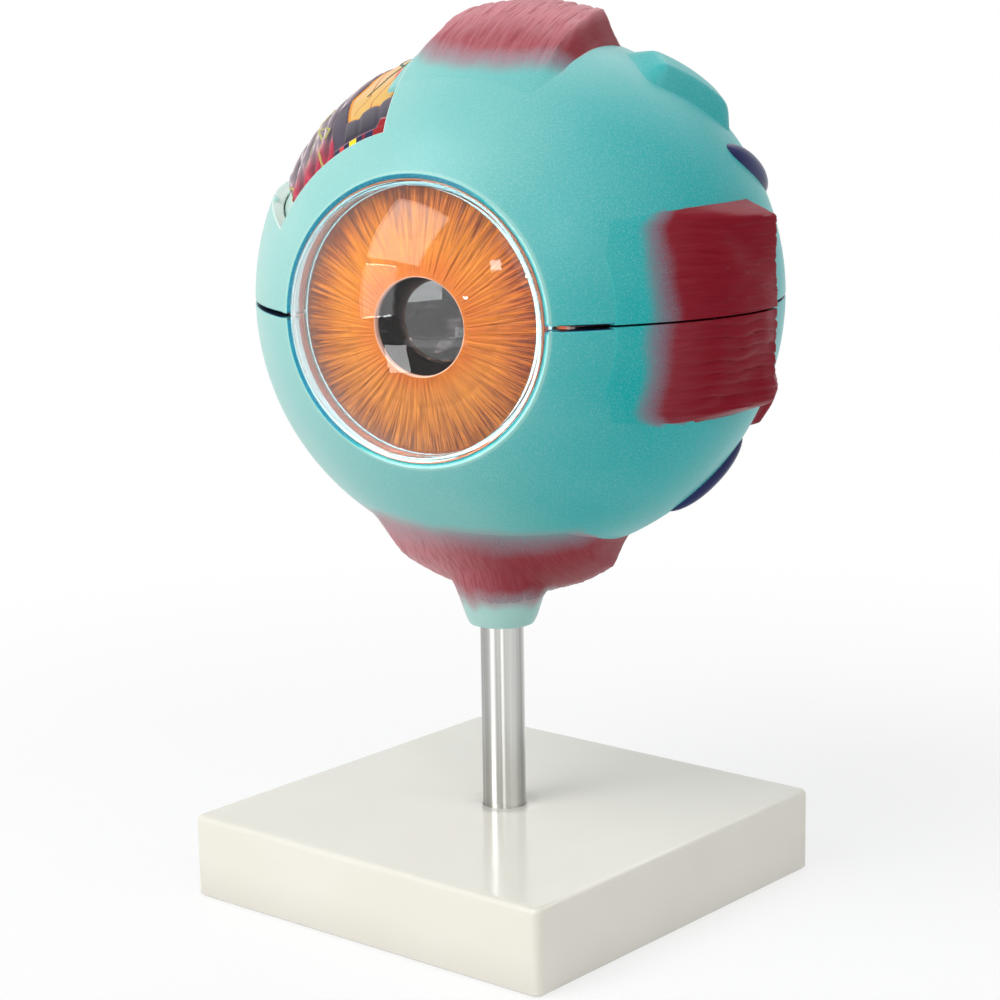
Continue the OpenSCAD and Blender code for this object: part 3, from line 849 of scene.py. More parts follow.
def slab(outward, across, centre, radius, along_range, across_range, flanks, grooves, root=None):
    """Grid of a slab: a smaller sphere's cap over a rectangle, feathered into the ball in front.

    A flank may be a pair of widths, in front and behind; root changes the cap's surface.
    """
    rows = round((along_range[1] - along_range[0]) / muscle_step)
    columns = round((across_range[1] - across_range[0]) / muscle_step)
    a, b = np.meshgrid(np.linspace(*along_range, rows), np.linspace(*across_range, columns), indexing="ij")
    ca, cb, ch = np.dot(centre, BACKWARDS), np.dot(centre, across), np.dot(centre, outward)
    top = ch + np.sqrt(np.maximum(radius ** 2 - (a - ca) ** 2 - (b - cb) ** 2, 1))
    ball = np.sqrt(BALL ** 2 - a ** 2 - b ** 2)
    if root is not None:
        top = root(a, b, top)
    raised = top - ball
    raised = 0.5 * (raised + np.sqrt(raised ** 2 + 1.7)) - 0.12
    share = np.ones_like(a)
    low_side, high_side, rear = flanks
    behind = (a - along_range[0]) / (along_range[1] - along_range[0])
    for flank, distance in ((low_side, b - across_range[0]), (high_side, across_range[1] - b)):
        if flank:
            width = np.interp(behind, (0, 1), flank) if isinstance(flank, tuple) else flank
            share *= sloped_edge(distance, width)
    share *= rounded_edge(along_range[1] - a, rear)
    full = np.clip(raised / 2.5, 0, 1)
    raised = np.where(raised > 0, raised * share, raised) + grooves(a, b) * full * np.minimum(share * 3, 1)
    height = ball + np.maximum(raised - 0.5 * (1 - share), -1.1)
    grid = (a[..., None] * BACKWARDS + b[..., None] * across + height[..., None] * outward)
    return grid, a, b


def close_below(grid, outward):
    """Points and faces of a slab's grid with walls down into the ball and a floor."""
    rows, columns = grid.shape[:2]
    points, faces = skin(grid, False, False, wrap=False)
    border = [k for k in range(columns)] + [i * columns + columns - 1 for i in range(1, rows)]
    border += [(rows - 1) * columns + k for k in range(columns - 2, -1, -1)]
    border += [i * columns for i in range(rows - 2, 0, -1)]
    edge = np.array(points)[border]
    flat = edge - (edge @ outward)[:, None] * outward
    middle = flat.mean(0)
    above = border
    for share in (1.0, 0.66, 0.33):
        level = middle + (flat - middle) * share
        drop = np.sqrt((BALL - 1.2) ** 2 - (level ** 2).sum(1))
        ring = list(range(len(points), len(points) + len(border)))
        points += list(map(tuple, level + drop[:, None] * outward))
        for k in range(len(border)):
            after = (k + 1) % len(border)
            faces.append((above[k], above[after], ring[after], ring[k]))
        above = ring
    points.append(tuple(middle + outward * math.sqrt((BALL - 1.2) ** 2 - (middle ** 2).sum())))
    faces += [(above[k], above[(k + 1) % len(border)], len(points) - 1) for k in range(len(border))]
    return points, faces


def socket_root(a, b, top):
    """Lets a slab's surface flow down the flare of the socket."""
    from_rod = np.hypot(a + EYE_BACK, b)
    flare = -socket_z - (from_rod - socket_radius) * socket_flare / (socket_top_radius - socket_radius)
    flare = np.clip(flare, 0, 80.6)
    return 0.5 * (top + flare + np.sqrt((top - flare) ** 2 + 3.5))


def upright_rear(a, b, top):
    """Brings a slab's surface out behind to an upright cylinder."""
    cylinder = np.sqrt(np.maximum(upright_radius ** 2 - (a - upright_centre[1]) ** 2, 0))
    cylinder = upright_centre[0] + cylinder
    return 0.5 * (top + cylinder + np.sqrt((top - cylinder) ** 2 + 0.3)) - 0.12


def fibre_grooves(spacing, depth, slant, seed, fine=0.12):
    """Grooves between bundles of fibres that run backwards, and finer strands on them."""
    def height(a, b):
        line = b + slant * a + 0.5 * waves(a, b * 0.4, seed, 9)
        bundle = np.abs(np.sin(math.pi * line / spacing))
        strands = waves(a * 0.07, line, seed + 1, 0.55)
        return -depth * (1 - bundle) ** 2.2 + fine * strands + 0.15 * waves(a, b, seed + 2, 7)
    return height


def muscle(name, body, cad, outward, across, grid, a, b, tint, hole=None):
    """Builds a stump, sprays it and fixes it to its half."""
    shape = close_below(grid, outward)
    piece = build(name, (on_rod(shape[0]), shape[1]), muscle_paint, 50)
    if hole:
        drill(piece, hole)
        piece.data.set_sharp_from_angle(angle=math.radians(50))
    p = in_eye(piece)
    off = np.stack([p @ BACKWARDS * 0.06, p @ across * 1.5, p @ outward * 0.2], 1)
    note(piece, "paint", np.stack([crimson_spray(p), teal_depth_and_shade(p), 0 * p[:, 0]], 1))
    note(piece, "tint", tint(p))
    note(piece, "fibre", off)
    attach(piece, body)
    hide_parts(cad)


rear_round = 2.2
at_seam = SEAM + 0.05
half_height = 28.0
side_halves = (
    ("upper", "eye_upper", (at_seam, half_height), (0, (1.8, 4.4), rear_round), 0.26, 0.04, 21),
    ("lower", "eye_lower", (-half_height, -at_seam), ((3.0, 3.6), 0, rear_round), 0.5, 0.08, 31))
for part, body, ends, flanks, depth, redder, seed in side_halves:
    made = slab(LATERAL, UP, lateral_centre, lateral_radius, (-51.0, -1.0), ends, flanks,
                fibre_grooves(3.1, depth, 0.03, seed), root=upright_rear)
    muscle("lateral_rectus_" + part + "_stump", body, "lateral_rectus_" + part, LATERAL, UP, *made,
           lambda p: redder * smooth(-27, -40, p[:, 1]))
    made = slab(MEDIAL, UP, medial_centre, medial_radius, (-36.5, 8.0), ends, flanks,
                fibre_grooves(3.1, depth, -0.02, seed + 20))
    muscle("medial_rectus_" + part + "_stump", body, "medial_rectus_" + part, MEDIAL, UP, *made,
           lambda p: redder + 0 * p[:, 0])

# Paler pink in front and over its top, deep crimson down its lateral flank: partly paint, partly painted
# light on the top and painted shade on the flank.
made = slab(UP, LATERAL, superior_centre, superior_radius, (-39.5, 9.0), (-18.0, 27.0),
            (3.5, 4.5, 3.0), fibre_grooves(4.2, 0.5, 0.12, 61))
muscle("superior_rectus_stump", "eye_upper", "superior_rectus", UP, LATERAL, *made,
       lambda p: (0.4 + 0.5 * smooth(-25, -8, p[:, 1])) * (1 - 0.95 * smooth(21.5, 24.5, p[:, 0])))
# Paler pink towards the medial side and darker to the lateral side: partly paint, partly painted light and
# painted shade.
made = slab(DOWN, LATERAL, inferior_centre, inferior_radius, (-46.0, 0.0), (-31.0, 32.8),
            (6.0, 4.5, 3.0), fibre_grooves(3.8, 0.16, 0.3, 71, 0.07), root=socket_root)
muscle("inferior_rectus_stump", "eye_lower", "inferior_rectus", DOWN, LATERAL, *made,
       lambda p: 0.12 + 0.72 * smooth(14, -20, p[:, 0]),
       bar_between((0, -EYE_BACK, -100), (0, -EYE_BACK, -60), 10.5, 64))

# ---------------------------------------------------------------- oblique muscles
# Flat pads where the oblique muscles join the ball: the superior oblique's tendon, painted teal
# with the ball, and the inferior oblique's stump in crimson.


def pad_frame(longitude, latitude, spin):
    """Outward, rightward and upward directions of a pad laid on the ball."""
    lon, lat, turn = map(math.radians, (longitude, latitude, spin))
    outward = np.array([math.sin(lon) * math.cos(lat), -math.cos(lon) * math.cos(lat), math.sin(lat)])
    x_axis = np.array([math.cos(lon), math.sin(lon), 0])
    y_axis = np.cross(outward, x_axis)
    right = math.cos(turn) * x_axis + math.sin(turn) * y_axis
    return outward, right, np.cross(outward, right)


def pad_grid(place, size, slopes, step=0.5, sag=None, rounded=False):
    """Grid of a pad whose four flanks slope down to the ball: left, right, low and high.

    Its place is a longitude, latitude and spin, and its size a width, depth and thickness.
    """
    outward, right, up = pad_frame(*place)
    width, depth, thickness = size
    a, b = np.meshgrid(np.linspace(-depth / 2, depth / 2, round(depth / step)),
                       np.linspace(-width / 2, width / 2, round(width / step)), indexing="ij")
    left, other, low, high = slopes
    crisp = rounded_edge if rounded else sloped_edge
    gentle = swelling_edge if rounded else sloped_edge
    share = gentle(b + width / 2, left) * crisp(width / 2 - b, other)
    share *= sloped_edge(a + depth / 2, low) * gentle(depth / 2 - a, high)
    raised = thickness * share
    if sag is not None:
        raised = raised + sag(a, b) * np.minimum(share * 2, 1)
    flat_square = a ** 2 + b ** 2
    height = np.sqrt(buried ** 2 - flat_square) + raised * np.sqrt(1 - flat_square / BALL ** 2)
    grid = a[..., None] * up + b[..., None] * right + height[..., None] * outward
    return grid, outward


tendon_place, tendon_size = (101.5, 52.5, -48.6), (33.4, 23, 4.9)
grid, outward = pad_grid(tendon_place, tendon_size, (7.5, 6.0, 6.0, 10.0), rounded=True)
shape = close_below(grid, outward)
tendon = build("superior_oblique_tendon", (on_rod(shape[0]), shape[1]), sclera_paint, 60)
spread_paint(tendon)
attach(tendon, "eye_upper")
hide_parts("superior_oblique")

oblique_place, oblique_size = (128, -22, 20), (34, 18, 4.2)
grid, outward = pad_grid(oblique_place, oblique_size, (3.5, 9.0, 3.5, 3.5), muscle_step,
                         fibre_grooves(3.0, 0.35, 0.05, 81))
shape = close_below(grid, outward)
oblique = build("inferior_oblique_stump", (on_rod(shape[0]), shape[1]), muscle_paint, 50)
p = in_eye(oblique)
_, right, up = pad_frame(*oblique_place)
covered = smooth(-1.5, 1.5, oblique_size[0] / 2 - abs(p @ right))
note(oblique, "paint", np.stack([covered, teal_depth_and_shade(p), 0 * p[:, 0]], 1))
note(oblique, "tint", np.zeros(len(p)))
note(oblique, "fibre", np.stack([p @ right * 0.06, p @ up * 1.5, p @ outward * 0.2], 1))
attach(oblique, "eye_lower")
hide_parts("inferior_oblique")

# ---------------------------------------------------------------- vortex veins
# Short swellings on the ball where veins leave the choroid, moulded on the sclera halves and
# brushed dark blue.
vein_paint, tree, surface = finish_of("vein_paint", (12, 26, 84), 0.3, Specular_IOR_Level=0.25)
used, _ = rough_up(tree, surface, 0.3, 0.06, 0.05, per_metre=700.0)
blotchy = mixed(tree, used.outputs["Mottle"], (8, 18, 66), (18, 36, 100))
tree.links.new(blotchy, surface.inputs["Base Color"])


def vein_shape(longitude, latitude, spin, reach):
    """A swelling along a great circle, thickest in the middle and drawn out at its ends.

    Its underside is kept within the thickness of the sclera.
    """
    outward, right, up = pad_frame(longitude, latitude, spin)
    rings = []
    turn = np.linspace(0, math.tau, 32, endpoint=False)
    for share in np.linspace(-1, 1, 41):
        angle = math.radians(reach * 0.62) * share
        thick = 4.0 * math.sqrt(max(1 - abs(share) ** 2.4, 0.002))
        way = math.cos(angle) * outward + math.sin(angle) * right
        centre = way * (BALL - 1.4)
        rings.append(centre + thick * (np.cos(turn)[:, None] * up + 0.95 * np.sin(turn)[:, None] * way))
    points, faces = skin(rings)
    points = np.array(points)
    from_centre = np.linalg.norm(points, axis=1)
    points *= (np.maximum(from_centre, BALL - 1.8 + 0.1 * (from_centre - BALL)) / from_centre)[:, None]
    return on_rod(points), faces


for half, body, places in (("upper", "eye_upper", ((104, 29, -30, 20), (-122, 29, 30, 20))),
                           ("lower", "eye_lower", ((101, -43, 60, 20), (-122, -40, -40, 20)))):
    veins = build("vortex_vein_pair_" + half, join(*[vein_shape(*one) for one in places]), vein_paint)
    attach(veins, body)
    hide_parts("vortex_veins_" + half)

# ---------------------------------------------------------------- choroid
# Two halves of a shell that nests in the sclera, hand painted: raised mauve vessels on crimson,
# and in the window a panel cut open to the retina, with the toothed edge of the retina, grey
# lobes of the ciliary body and a strip of red, blue and yellow muscle sections in front.
CHOROID_OUT = 68.3
CHOROID_IN = 65.3
CHOROID_FRONT = 54.0
PANEL = 70.6
PANEL_ANGLES = (33.5, 74.3)
PANEL_FRONT = 52.4
PANEL_BACK = 11.4
vessel_pitch = 2.5
# Marks for places painted plain: a pale ledge; a pale front margin, which is a painted reflection; and a
# dark strip along the seam, which is painted shade.
bare_ledge, margin_reflection, seam_shade = 1.8, 3.0, 4.0
retina_tan = (214, 168, 94)
retina_inside = (206, 92, 48)
nerve_lines = ([(42, 50.5), (45.9, 49.5), (50.2, 48.6), (54.7, 49.3), (62.9, 46.5), (72, 48), (84, 44)],
               [(50.7, 42.4), (53.7, 44.2), (58.9, 44.7), (64.2, 45.7), (70, 44), (88, 38)],
               [(62.9, 46.5), (57.6, 51.6), (54.4, 50.6)], [(46.4, 33), (48.6, 36), (53.6, 33)],
               [(72, 48), (82, 51), (98, 49)])
green_lines = ([(61.5, 63.4), (64, 66), (67.3, 67.8), (71.2, 70.2), (80, 71.5)],
               [(71.2, 70.2), (76, 67), (84, 66)])
red_lines = ([(55.1, 66.1), (57.3, 66.1), (58.9, 67.2), (61.9, 68.8), (64.6, 70.2), (74, 72.5)],
             [(55.6, 60.4), (57.3, 61.2), (58.4, 62.8), (60.5, 64.3), (68.8, 64.1), (84, 63)])


def away_from(lines, polar, about):
    """Distance in millimetres over the panel from the nearest of several painted lines."""
    across = 0.83
    best = np.full(polar.shape, 99.0)
    for line in lines:
        for (p0, a0), (p1, a1) in zip(line, line[1:]):
            dp, da = p1 - p0, (a1 - a0) * across
            t = np.clip(((polar - p0) * dp + (about - a0) * across * da) / (dp * dp + da * da), 0, 1)
            best = np.minimum(best, np.hypot(polar - p0 - t * dp, (about - a0) * across - t * da))
    return best * math.radians(PANEL)


def vessel_ridges(polar, about):
    """Heights from 0 to 1 of branching vessels that run backwards and cross one another."""
    swerve = 1.1 * waves(polar, about, 11, 13)
    one = about - 0.25 * polar + swerve
    other = about + 0.16 * polar - swerve * 0.7 + 0.8
    first = 1 - np.abs(np.sin(math.pi * one / (2 * vessel_pitch))) ** 0.9
    second = 1 - np.abs(np.sin(math.pi * other / (2.9 * vessel_pitch))) ** 0.9
    return np.clip(np.maximum(first, second * 0.9) + 0.12 * waves(polar, about, 12, 2.2), 0, 1)


def panel_zones(polar, about):
    """How far each point lies inside the cut, the retina and the lobes, in degrees."""
    cut = about - np.interp(polar, [41, 49.5, 56.6, 63, 65, 70.8, 88, 93],
                            [54.9, 54.2, 52.6, 53.2, 56.2, 59.7, 60, 74])
    teeth = np.interp(about, [56, 58.8, 60.4, 61.8, 63, 64.3, 66.5, 68.6, 69.6, 71, 72.5, 75],
                      [53.6, 53.5, 53.3, 52.9, 52.1, 53.7, 54.4, 54.1, 53.3, 54.8, 55.4, 55.6])
    side = about - np.interp(polar, [50, 53.5, 58.9, 65.5, 67.1, 69.3, 87, 92],
                             [59, 58.8, 57.8, 56.9, 58.6, 60.4, 61.4, 75])
    retina = np.minimum(polar - teeth, side)
    lobes = np.minimum.reduce([teeth - polar, polar - 46.2 - 2.2 * smooth(70.5, 74, about), about - 58.6])
    return cut, retina, lobes


def choroid_grid(side, rows, columns, panel):
    """Outer grid of a choroid half and, at each of its points, what is painted there.

    Ridges run from 0 to 1; the three values over 1 mark places that are painted plain: a pale ledge,
    a pale front margin that is a painted reflection, and a dark strip along the seam that is
    painted shade.
    """
    polar = np.broadcast_to(rows[:, None], (len(rows), len(columns)))
    about = np.broadcast_to(180 - columns[None, :], polar.shape)
    ridges = vessel_ridges(polar, about)
    radius = CHOROID_OUT - 0.45 * (1 - ridges)
    cut, retina, lobes = panel_zones(polar, about)
    on_panel = np.zeros(polar.shape, bool)
    if panel:
        on_panel = (polar > panel[0]) & (polar < panel[1])
        on_panel &= (about > PANEL_ANGLES[0]) & (about < PANEL_ANGLES[1])
        nerves = away_from(nerve_lines, polar, about)
        level = PANEL - 0.75 * (1 - ridges) + 0.35 * (1 - smooth(0.2, 0.75, nerves))
        opened = smooth(-0.25, 0.25, cut)
        seams = np.minimum(abs(about - 63.4 - 0.1 * (54 - polar)), abs(about - 69.9 - 0.15 * (54 - polar)))
        flat = PANEL - 0.45 - 0.45 * smooth(-0.1, 0.3, retina)
        flat = flat + 0.3 * smooth(0, 0.9, lobes) * smooth(0, 1.2, seams)
        flat = flat + 0.35 * (1 - smooth(45.6, 46.0, polar))
        flat = flat + 0.25 * (1 - smooth(0.15, 0.5, away_from(green_lines, polar, about)))
        level = level * (1 - opened) + flat * opened
        level = level - 0.5 * (1 - smooth(0, 1.0, np.minimum(polar - panel[0], panel[1] - polar)))
        radius = np.where(on_panel, level, radius)
        ledge = ~on_panel & (abs(about - 26) < 9) & (polar > 38) & (polar < 104)
        ridges = np.where(ledge, bare_ledge, ridges)
    # Pale front margin, seen past the cornea's skirt: a painted reflection.
    ridges = np.where((polar < 41.5) & ~on_panel, margin_reflection, ridges)
    # Dark strip along the seam: painted shade in the gap between the halves.
    ridges = np.where((about < 1.5) | (about > 178.5), seam_shade, ridges)
    return half_sheet(side, radius, rows, columns), polar, about, ridges, cut, retina, lobes, on_panel


def choroid_half(name, side, rows, inner_rows, columns, panel=None):
    """Builds and paints one half of the choroid."""
    outer, polar, about, ridges, cut, retina, lobes, on_panel = choroid_grid(side, rows, columns, panel)
    inner = half_sheet(side, CHOROID_IN, inner_rows, columns)
    points, faces = half_shell(side, outer, inner)
    count = polar.size
    far = np.full(count, 99.0)
    showing = on_panel.ravel()
    place = np.stack([np.tile(polar.ravel(), 2), np.tile(about.ravel(), 2),
                      np.repeat([0.0, 1.0], count)], 1)
    lines = [np.where(showing, away_from(group, polar, about).ravel(), far)
             for group in (nerve_lines, green_lines, red_lines)]
    fundus = inside_vessels(inner.reshape(-1, 3))
    lines = np.stack([np.concatenate([line, fundus[:, k]]) for k, line in enumerate(lines)], 1)
    zones = np.stack([np.concatenate([np.where(showing, zone.ravel(), -9), np.full(count, -9.0)])
                      for zone in (cut, retina, lobes)], 1)
    mesh = bpy.data.meshes.new(name)
    mesh.from_pydata([tuple(p) for p in on_rod(points) * MM], [], faces)
    mesh.polygons.foreach_set("use_smooth", [True] * len(mesh.polygons))
    mesh.set_sharp_from_angle(angle=math.radians(50))
    mesh.materials.append(choroid_paint)
    piece = bpy.data.objects.new(name, mesh)
    bpy.context.scene.collection.objects.link(piece)
    note(piece, "place", place)
    note(piece, "lines", lines)
    note(piece, "zones", zones)
    note(piece, "ridge", np.concatenate([ridges.ravel(), np.zeros(count)]))
    return piece


def inside_vessels(p):
    """Distances inside the eye from the retina's vessels and from the optic disc."""
    disc_way = nerve_way * CHOROID_IN
    out = p @ nerve_way
    across, up = p @ side_way, p[:, 2]
    from_disc = np.linalg.norm(p - disc_way, axis=1)
    reach = np.arccos(np.clip(out / CHOROID_IN, -1, 1))
    turn = np.arctan2(up, across)
    vessel = np.full(len(p), 99.0)
    arcades = ((0.75, -0.55, 0.1), (-0.75, 0.55, 0.1), (2.4, 0.35, 0.14), (-2.4, -0.35, 0.14))
    for start, curl, wiggle in arcades:
        for offset in (0.0, 0.09):
            line = start + offset + curl * reach + wiggle * np.sin(reach * 9 + start)
            gap = np.abs((turn - line + math.pi) % math.tau - math.pi)
            vessel = np.minimum(vessel, gap * np.maximum(CHOROID_IN * np.sin(reach), 1))
    return np.stack([from_disc, vessel, vessel], 1)


def inside_band(tree, value, low, high, soft=0.05):
    """1 between two values of a socket and 0 outside."""
    rise = node(tree, "MapRange", {"Value": value, "From Min": low - soft, "From Max": low + soft},
                interpolation_type="SMOOTHSTEP")
    if high is None:
        return rise.outputs["Result"]
    fall = node(tree, "MapRange", {"Value": value, "From Min": high - soft, "From Max": high + soft,
                                   "To Min": 1.0, "To Max": 0.0}, interpolation_type="SMOOTHSTEP")
    return math_node(tree, "MULTIPLY", rise.outputs["Result"], fall.outputs["Result"])


def told(tree, name):
    """The three sockets of a stored vector."""
    stored = node(tree, "Attribute", attribute_name=name)
    return node(tree, "SeparateXYZ", {"Vector": stored.outputs["Vector"]}).outputs


choroid_paint, tree, surface = finish_of("choroid_paint", (150, 40, 60), 0.42, Specular_IOR_Level=0.22)
used, _ = rough_up(tree, surface, 0.4, 0.06, 0.04, per_metre=1100.0)
place = told(tree, "place")
lines = told(tree, "lines")
zones = told(tree, "zones")
ridge = node(tree, "Attribute", attribute_name="ridge").outputs["Fac"]
# Mauve and crimson are darker in the hollows between the vessels, partly their paint and partly painted
# shade; the mauve goes near white along the vessels' tops as a painted highlight.
mauve = mixed(tree, ridge, (66, 50, 66), (170, 152, 160))
mauve = mixed(tree, inside_band(tree, ridge, 0.8, None, 0.1), mauve, (214, 204, 204))
red = mixed(tree, ridge, (122, 14, 42), (190, 56, 84))
frayed = math_node(tree, "MULTIPLY_ADD", used.outputs["Mottle"], 5.0, -2.5)
frayed = math_node(tree, "ADD", frayed, math_node(tree, "MULTIPLY", ridge, -2.5))
frayed = math_node(tree, "ADD", place["X"], frayed)
frayed = math_node(tree, "MULTIPLY_ADD", math_node(tree, "SUBTRACT", place["Y"], 45.0), -0.1, frayed)
to_mauve = node(tree, "MapRange", {"Value": frayed, "From Min": 46.5, "From Max": 53.0}).outputs["Result"]
painted = mixed(tree, to_mauve, red, mauve)
painted = mixed(tree, inside_band(tree, lines["X"], -1.0, 0.3, 0.12), painted, (172, 168, 84))
plum = mixed(tree, used.outputs["Mottle"], (44, 36, 54), (72, 58, 78))
painted = mixed(tree, inside_band(tree, zones["X"], 0.0, None, 0.2), painted, plum)
shade = node(tree, "MapRange", {"Value": place["X"], "From Min": 47.0, "From Max": 55.0}).outputs["Result"]
lobe = mixed(tree, shade, (50, 46, 58), (98, 92, 102))
painted = mixed(tree, inside_band(tree, zones["Z"], 0.25, None, 0.12), painted, lobe)
tan = mixed(tree, used.outputs["Mottle"], (222, 180, 88), retina_tan)
tan = mixed(tree, inside_band(tree, place["X"], 63.0, None, 4.0), tan, (226, 184, 128))
tan = mixed(tree, inside_band(tree, zones["Y"], -1.0, 0.8, 0.3), tan, (222, 142, 44))
pink = math_node(tree, "MULTIPLY", inside_band(tree, place["X"], 65.5, 69.5, 0.8),
                 inside_band(tree, place["Y"], 69.6, 72.5, 0.7))
tan = mixed(tree, pink, tan, (222, 92, 92))
tan = mixed(tree, inside_band(tree, lines["Z"], -1.0, 0.22, 0.1), tan, (176, 74, 40))
tan = mixed(tree, inside_band(tree, lines["Y"], -1.0, 0.42, 0.1), tan, (20, 76, 62))
painted = mixed(tree, inside_band(tree, zones["Y"], 0.1, None, 0.08), painted, tan)
strip = node(tree, "ValToRGB", {"Fac": node(tree, "MapRange", {"Value": place["Y"], "From Min": 55.0,
                                                                "From Max": 75.0}).outputs["Result"]})
strip.color_ramp.interpolation = "CONSTANT"
stops = strip.color_ramp.elements
red_block, blue_block, yellow_block, rose_block = (146, 4, 18), (8, 16, 62), (240, 214, 20), (198, 56, 66)
stops[0].position, stops[0].color = 0.0, (*linear(blue_block), 1)
stops[1].position, stops[1].color = (69.9 - 55) / 20, (*linear(red_block), 1)
for angle, colour in ((57.1, rose_block), (58.9, blue_block), (61.0, yellow_block), (63.7, blue_block),
                      (66.2, red_block), (66.9, blue_block)):
    stop = stops.new((angle - 55) / 20)
    stop.color = (*linear(colour), 1)
taller = math_node(tree, "MULTIPLY", inside_band(tree, place["Y"], 71.0, None, 1.0), 2.6)
strip_place = math_node(tree, "SUBTRACT", place["X"], taller)
in_strip = math_node(tree, "MULTIPLY", inside_band(tree, strip_place, 40.0, 45.5, 0.08),
                     inside_band(tree, place["Y"], 55.3, None, 0.1))
in_strip = math_node(tree, "MULTIPLY", in_strip, inside_band(tree, zones["X"], -1.5, None, 0.1))
painted = mixed(tree, in_strip, painted, strip.outputs["Color"])
pale_line = math_node(tree, "MULTIPLY", inside_band(tree, strip_place, 45.5, 45.85, 0.06),
                      inside_band(tree, zones["X"], 0.6, None, 0.1))
painted = mixed(tree, pale_line, painted, (168, 120, 128))
fundus = mixed(tree, used.outputs["Mottle"], retina_inside, (222, 120, 62))
fundus = mixed(tree, inside_band(tree, lines["Y"], -1.0, 0.9, 0.35), fundus, (140, 16, 22))
fundus = mixed(tree, inside_band(tree, lines["X"], -1.0, 8.0, 0.5), fundus, (236, 206, 136))
painted = mixed(tree, inside_band(tree, ridge, 1.5, 2.5, 0.2), painted, (184, 212, 204))
# Pale blue-grey front margin: a painted reflection.
painted = mixed(tree, inside_band(tree, ridge, 2.5, 3.5, 0.2), painted, (168, 198, 204))
# Near black along the seam: painted shade in the gap between the halves.
painted = mixed(tree, inside_band(tree, ridge, 3.5, None, 0.2), painted, (14, 16, 34))
tree.links.new(mixed(tree, place["Z"], painted, fundus), surface.inputs["Base Color"])

front_polar = math.degrees(math.acos(CHOROID_FRONT / CHOROID_OUT))
front_inner = math.degrees(math.acos(CHOROID_FRONT / CHOROID_IN))
panel_rows = (polar_at(PANEL_FRONT, PANEL), polar_at(-PANEL_BACK, PANEL))
wall = 0.05
rows = stops_between([front_polar, panel_rows[0] - wall, panel_rows[0] + wall, panel_rows[1] - wall,
                      panel_rows[1] + wall, rear_row], [1.1, 1, 0.36, 1, shell_step])
inner_rows = np.interp(rows, [front_polar, 99, rear_row], [front_inner, 99, rear_row])
panel_columns = (180 - PANEL_ANGLES[1], 180 - PANEL_ANGLES[0])
columns = stops_between([0, panel_columns[0] - wall, panel_columns[0] + wall, panel_columns[1] - wall,
                         panel_columns[1] + wall, 180], [shell_step, 1, 0.36, 1, shell_step])
choroid_top = choroid_half("choroid_upper_half", 1, rows, inner_rows, columns, panel_rows)
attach(choroid_top, "choroid_top")
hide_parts("choroid_upper")
rows = stops_between([front_polar, rear_row], shell_step)
inner_rows = np.interp(rows, [front_polar, 99, rear_row], [front_inner, 99, rear_row])
columns = stops_between([0, 180], shell_step)
choroid_bottom = choroid_half("choroid_lower_half", -1, rows, inner_rows, columns)
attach(choroid_bottom, "choroid_bottom")
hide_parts("choroid_lower")

# ---------------------------------------------------------------- vitreous body
# A hollow clear ball in a front and a rear half, moulded in acrylic; the front half is dished to
# take the lens. The light that falls through it is let past, so that what is behind stays lit.
VITREOUS = 65.0
vitreous_wall = 2.0
vitreous_front = 44.78
lens_back_centre = 68.79
lens_back_radius = 36.0
lens_seat = lens_back_radius + 0.4


def clear_plastic(name, tint, roughness, ior=1.49):
    """Clear acrylic: glass that lets the lamps' light straight through."""
    material, tree, surface = finish_of(name, tint, roughness, Transmission_Weight=1.0, IOR=ior)
    scuffs = node(tree, "TexNoise", {"Vector": node(tree, "TexCoord").outputs["Object"], "Scale": 60.0,
                                     "Detail": 4.0})
    ranged = node(tree, "MapRange", {"Value": scuffs.outputs["Fac"], "From Min": 0.35, "From Max": 0.75,
                                     "To Min": roughness, "To Max": roughness + 0.03})
    tree.links.new(ranged.outputs["Result"], surface.inputs["Roughness"])
    path = node(tree, "LightPath")
    through = node(tree, "BsdfTransparent", {"Color": (*linear(tint), 1)})
    both = node(tree, "MixShader", {0: path.outputs["Is Shadow Ray"]})
    tree.links.new(surface.outputs["BSDF"], both.inputs[1])
    tree.links.new(through.outputs["BSDF"], both.inputs[2])
    tree.links.new(both.outputs["Shader"], tree.nodes["Material Output"].inputs["Surface"])
    return material


def turned(outline, count=128):
    """Points and faces turned round the optical axis from (radius, distance forwards) pairs."""
    turn = np.linspace(0, math.tau, count, endpoint=False)
    rings = [np.stack([max(r, 1e-4) * np.cos(turn), np.full(count, -float(d)),
                       max(r, 1e-4) * np.sin(turn)], 1) for r, d in outline]
    points, faces = skin(rings)
    return on_rod(points), faces


def arc(radius, centre, start, end, count=24):
    """(radius, distance) pairs along a circle whose centre is on the axis."""
    return [(radius * math.sin(t), centre + radius * math.cos(t))
            for t in np.linspace(math.radians(start), math.radians(end), count)]


def seat_angle(radius, level):
    """Where a circle round the lens's rear centre crosses a plane, in degrees from the axis."""
    return 180 - math.degrees(math.acos((lens_back_centre - level) / radius))


acrylic = clear_plastic("clear_acrylic", (250, 252, 252), 0.02, 1.25)
inner_radius = VITREOUS - vitreous_wall
inner_front = vitreous_front - vitreous_wall
outline = arc(lens_seat, lens_back_centre, 180, seat_angle(lens_seat, vitreous_front))
outline += arc(VITREOUS, 0, polar_at(vitreous_front, VITREOUS), polar_at(0.05, VITREOUS), 28)
outline += arc(inner_radius, 0, polar_at(0.05, inner_radius), polar_at(inner_front, inner_radius), 28)
outline += arc(lens_seat + vitreous_wall, lens_back_centre,
               seat_angle(lens_seat + vitreous_wall, inner_front), 180)
front_bowl = build("vitreous_front_half", turned(outline), acrylic, 30)
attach(front_bowl, "vitreous")
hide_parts("vitreous_front")
outline = arc(VITREOUS, 0, 180, polar_at(-0.05, VITREOUS), 40)
outline += arc(inner_radius, 0, polar_at(-0.05, inner_radius), 180, 40)
rear_bowl = build("vitreous_rear_half", turned(outline), acrylic, 30)
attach(rear_bowl, "vitreous")
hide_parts("vitreous_rear")

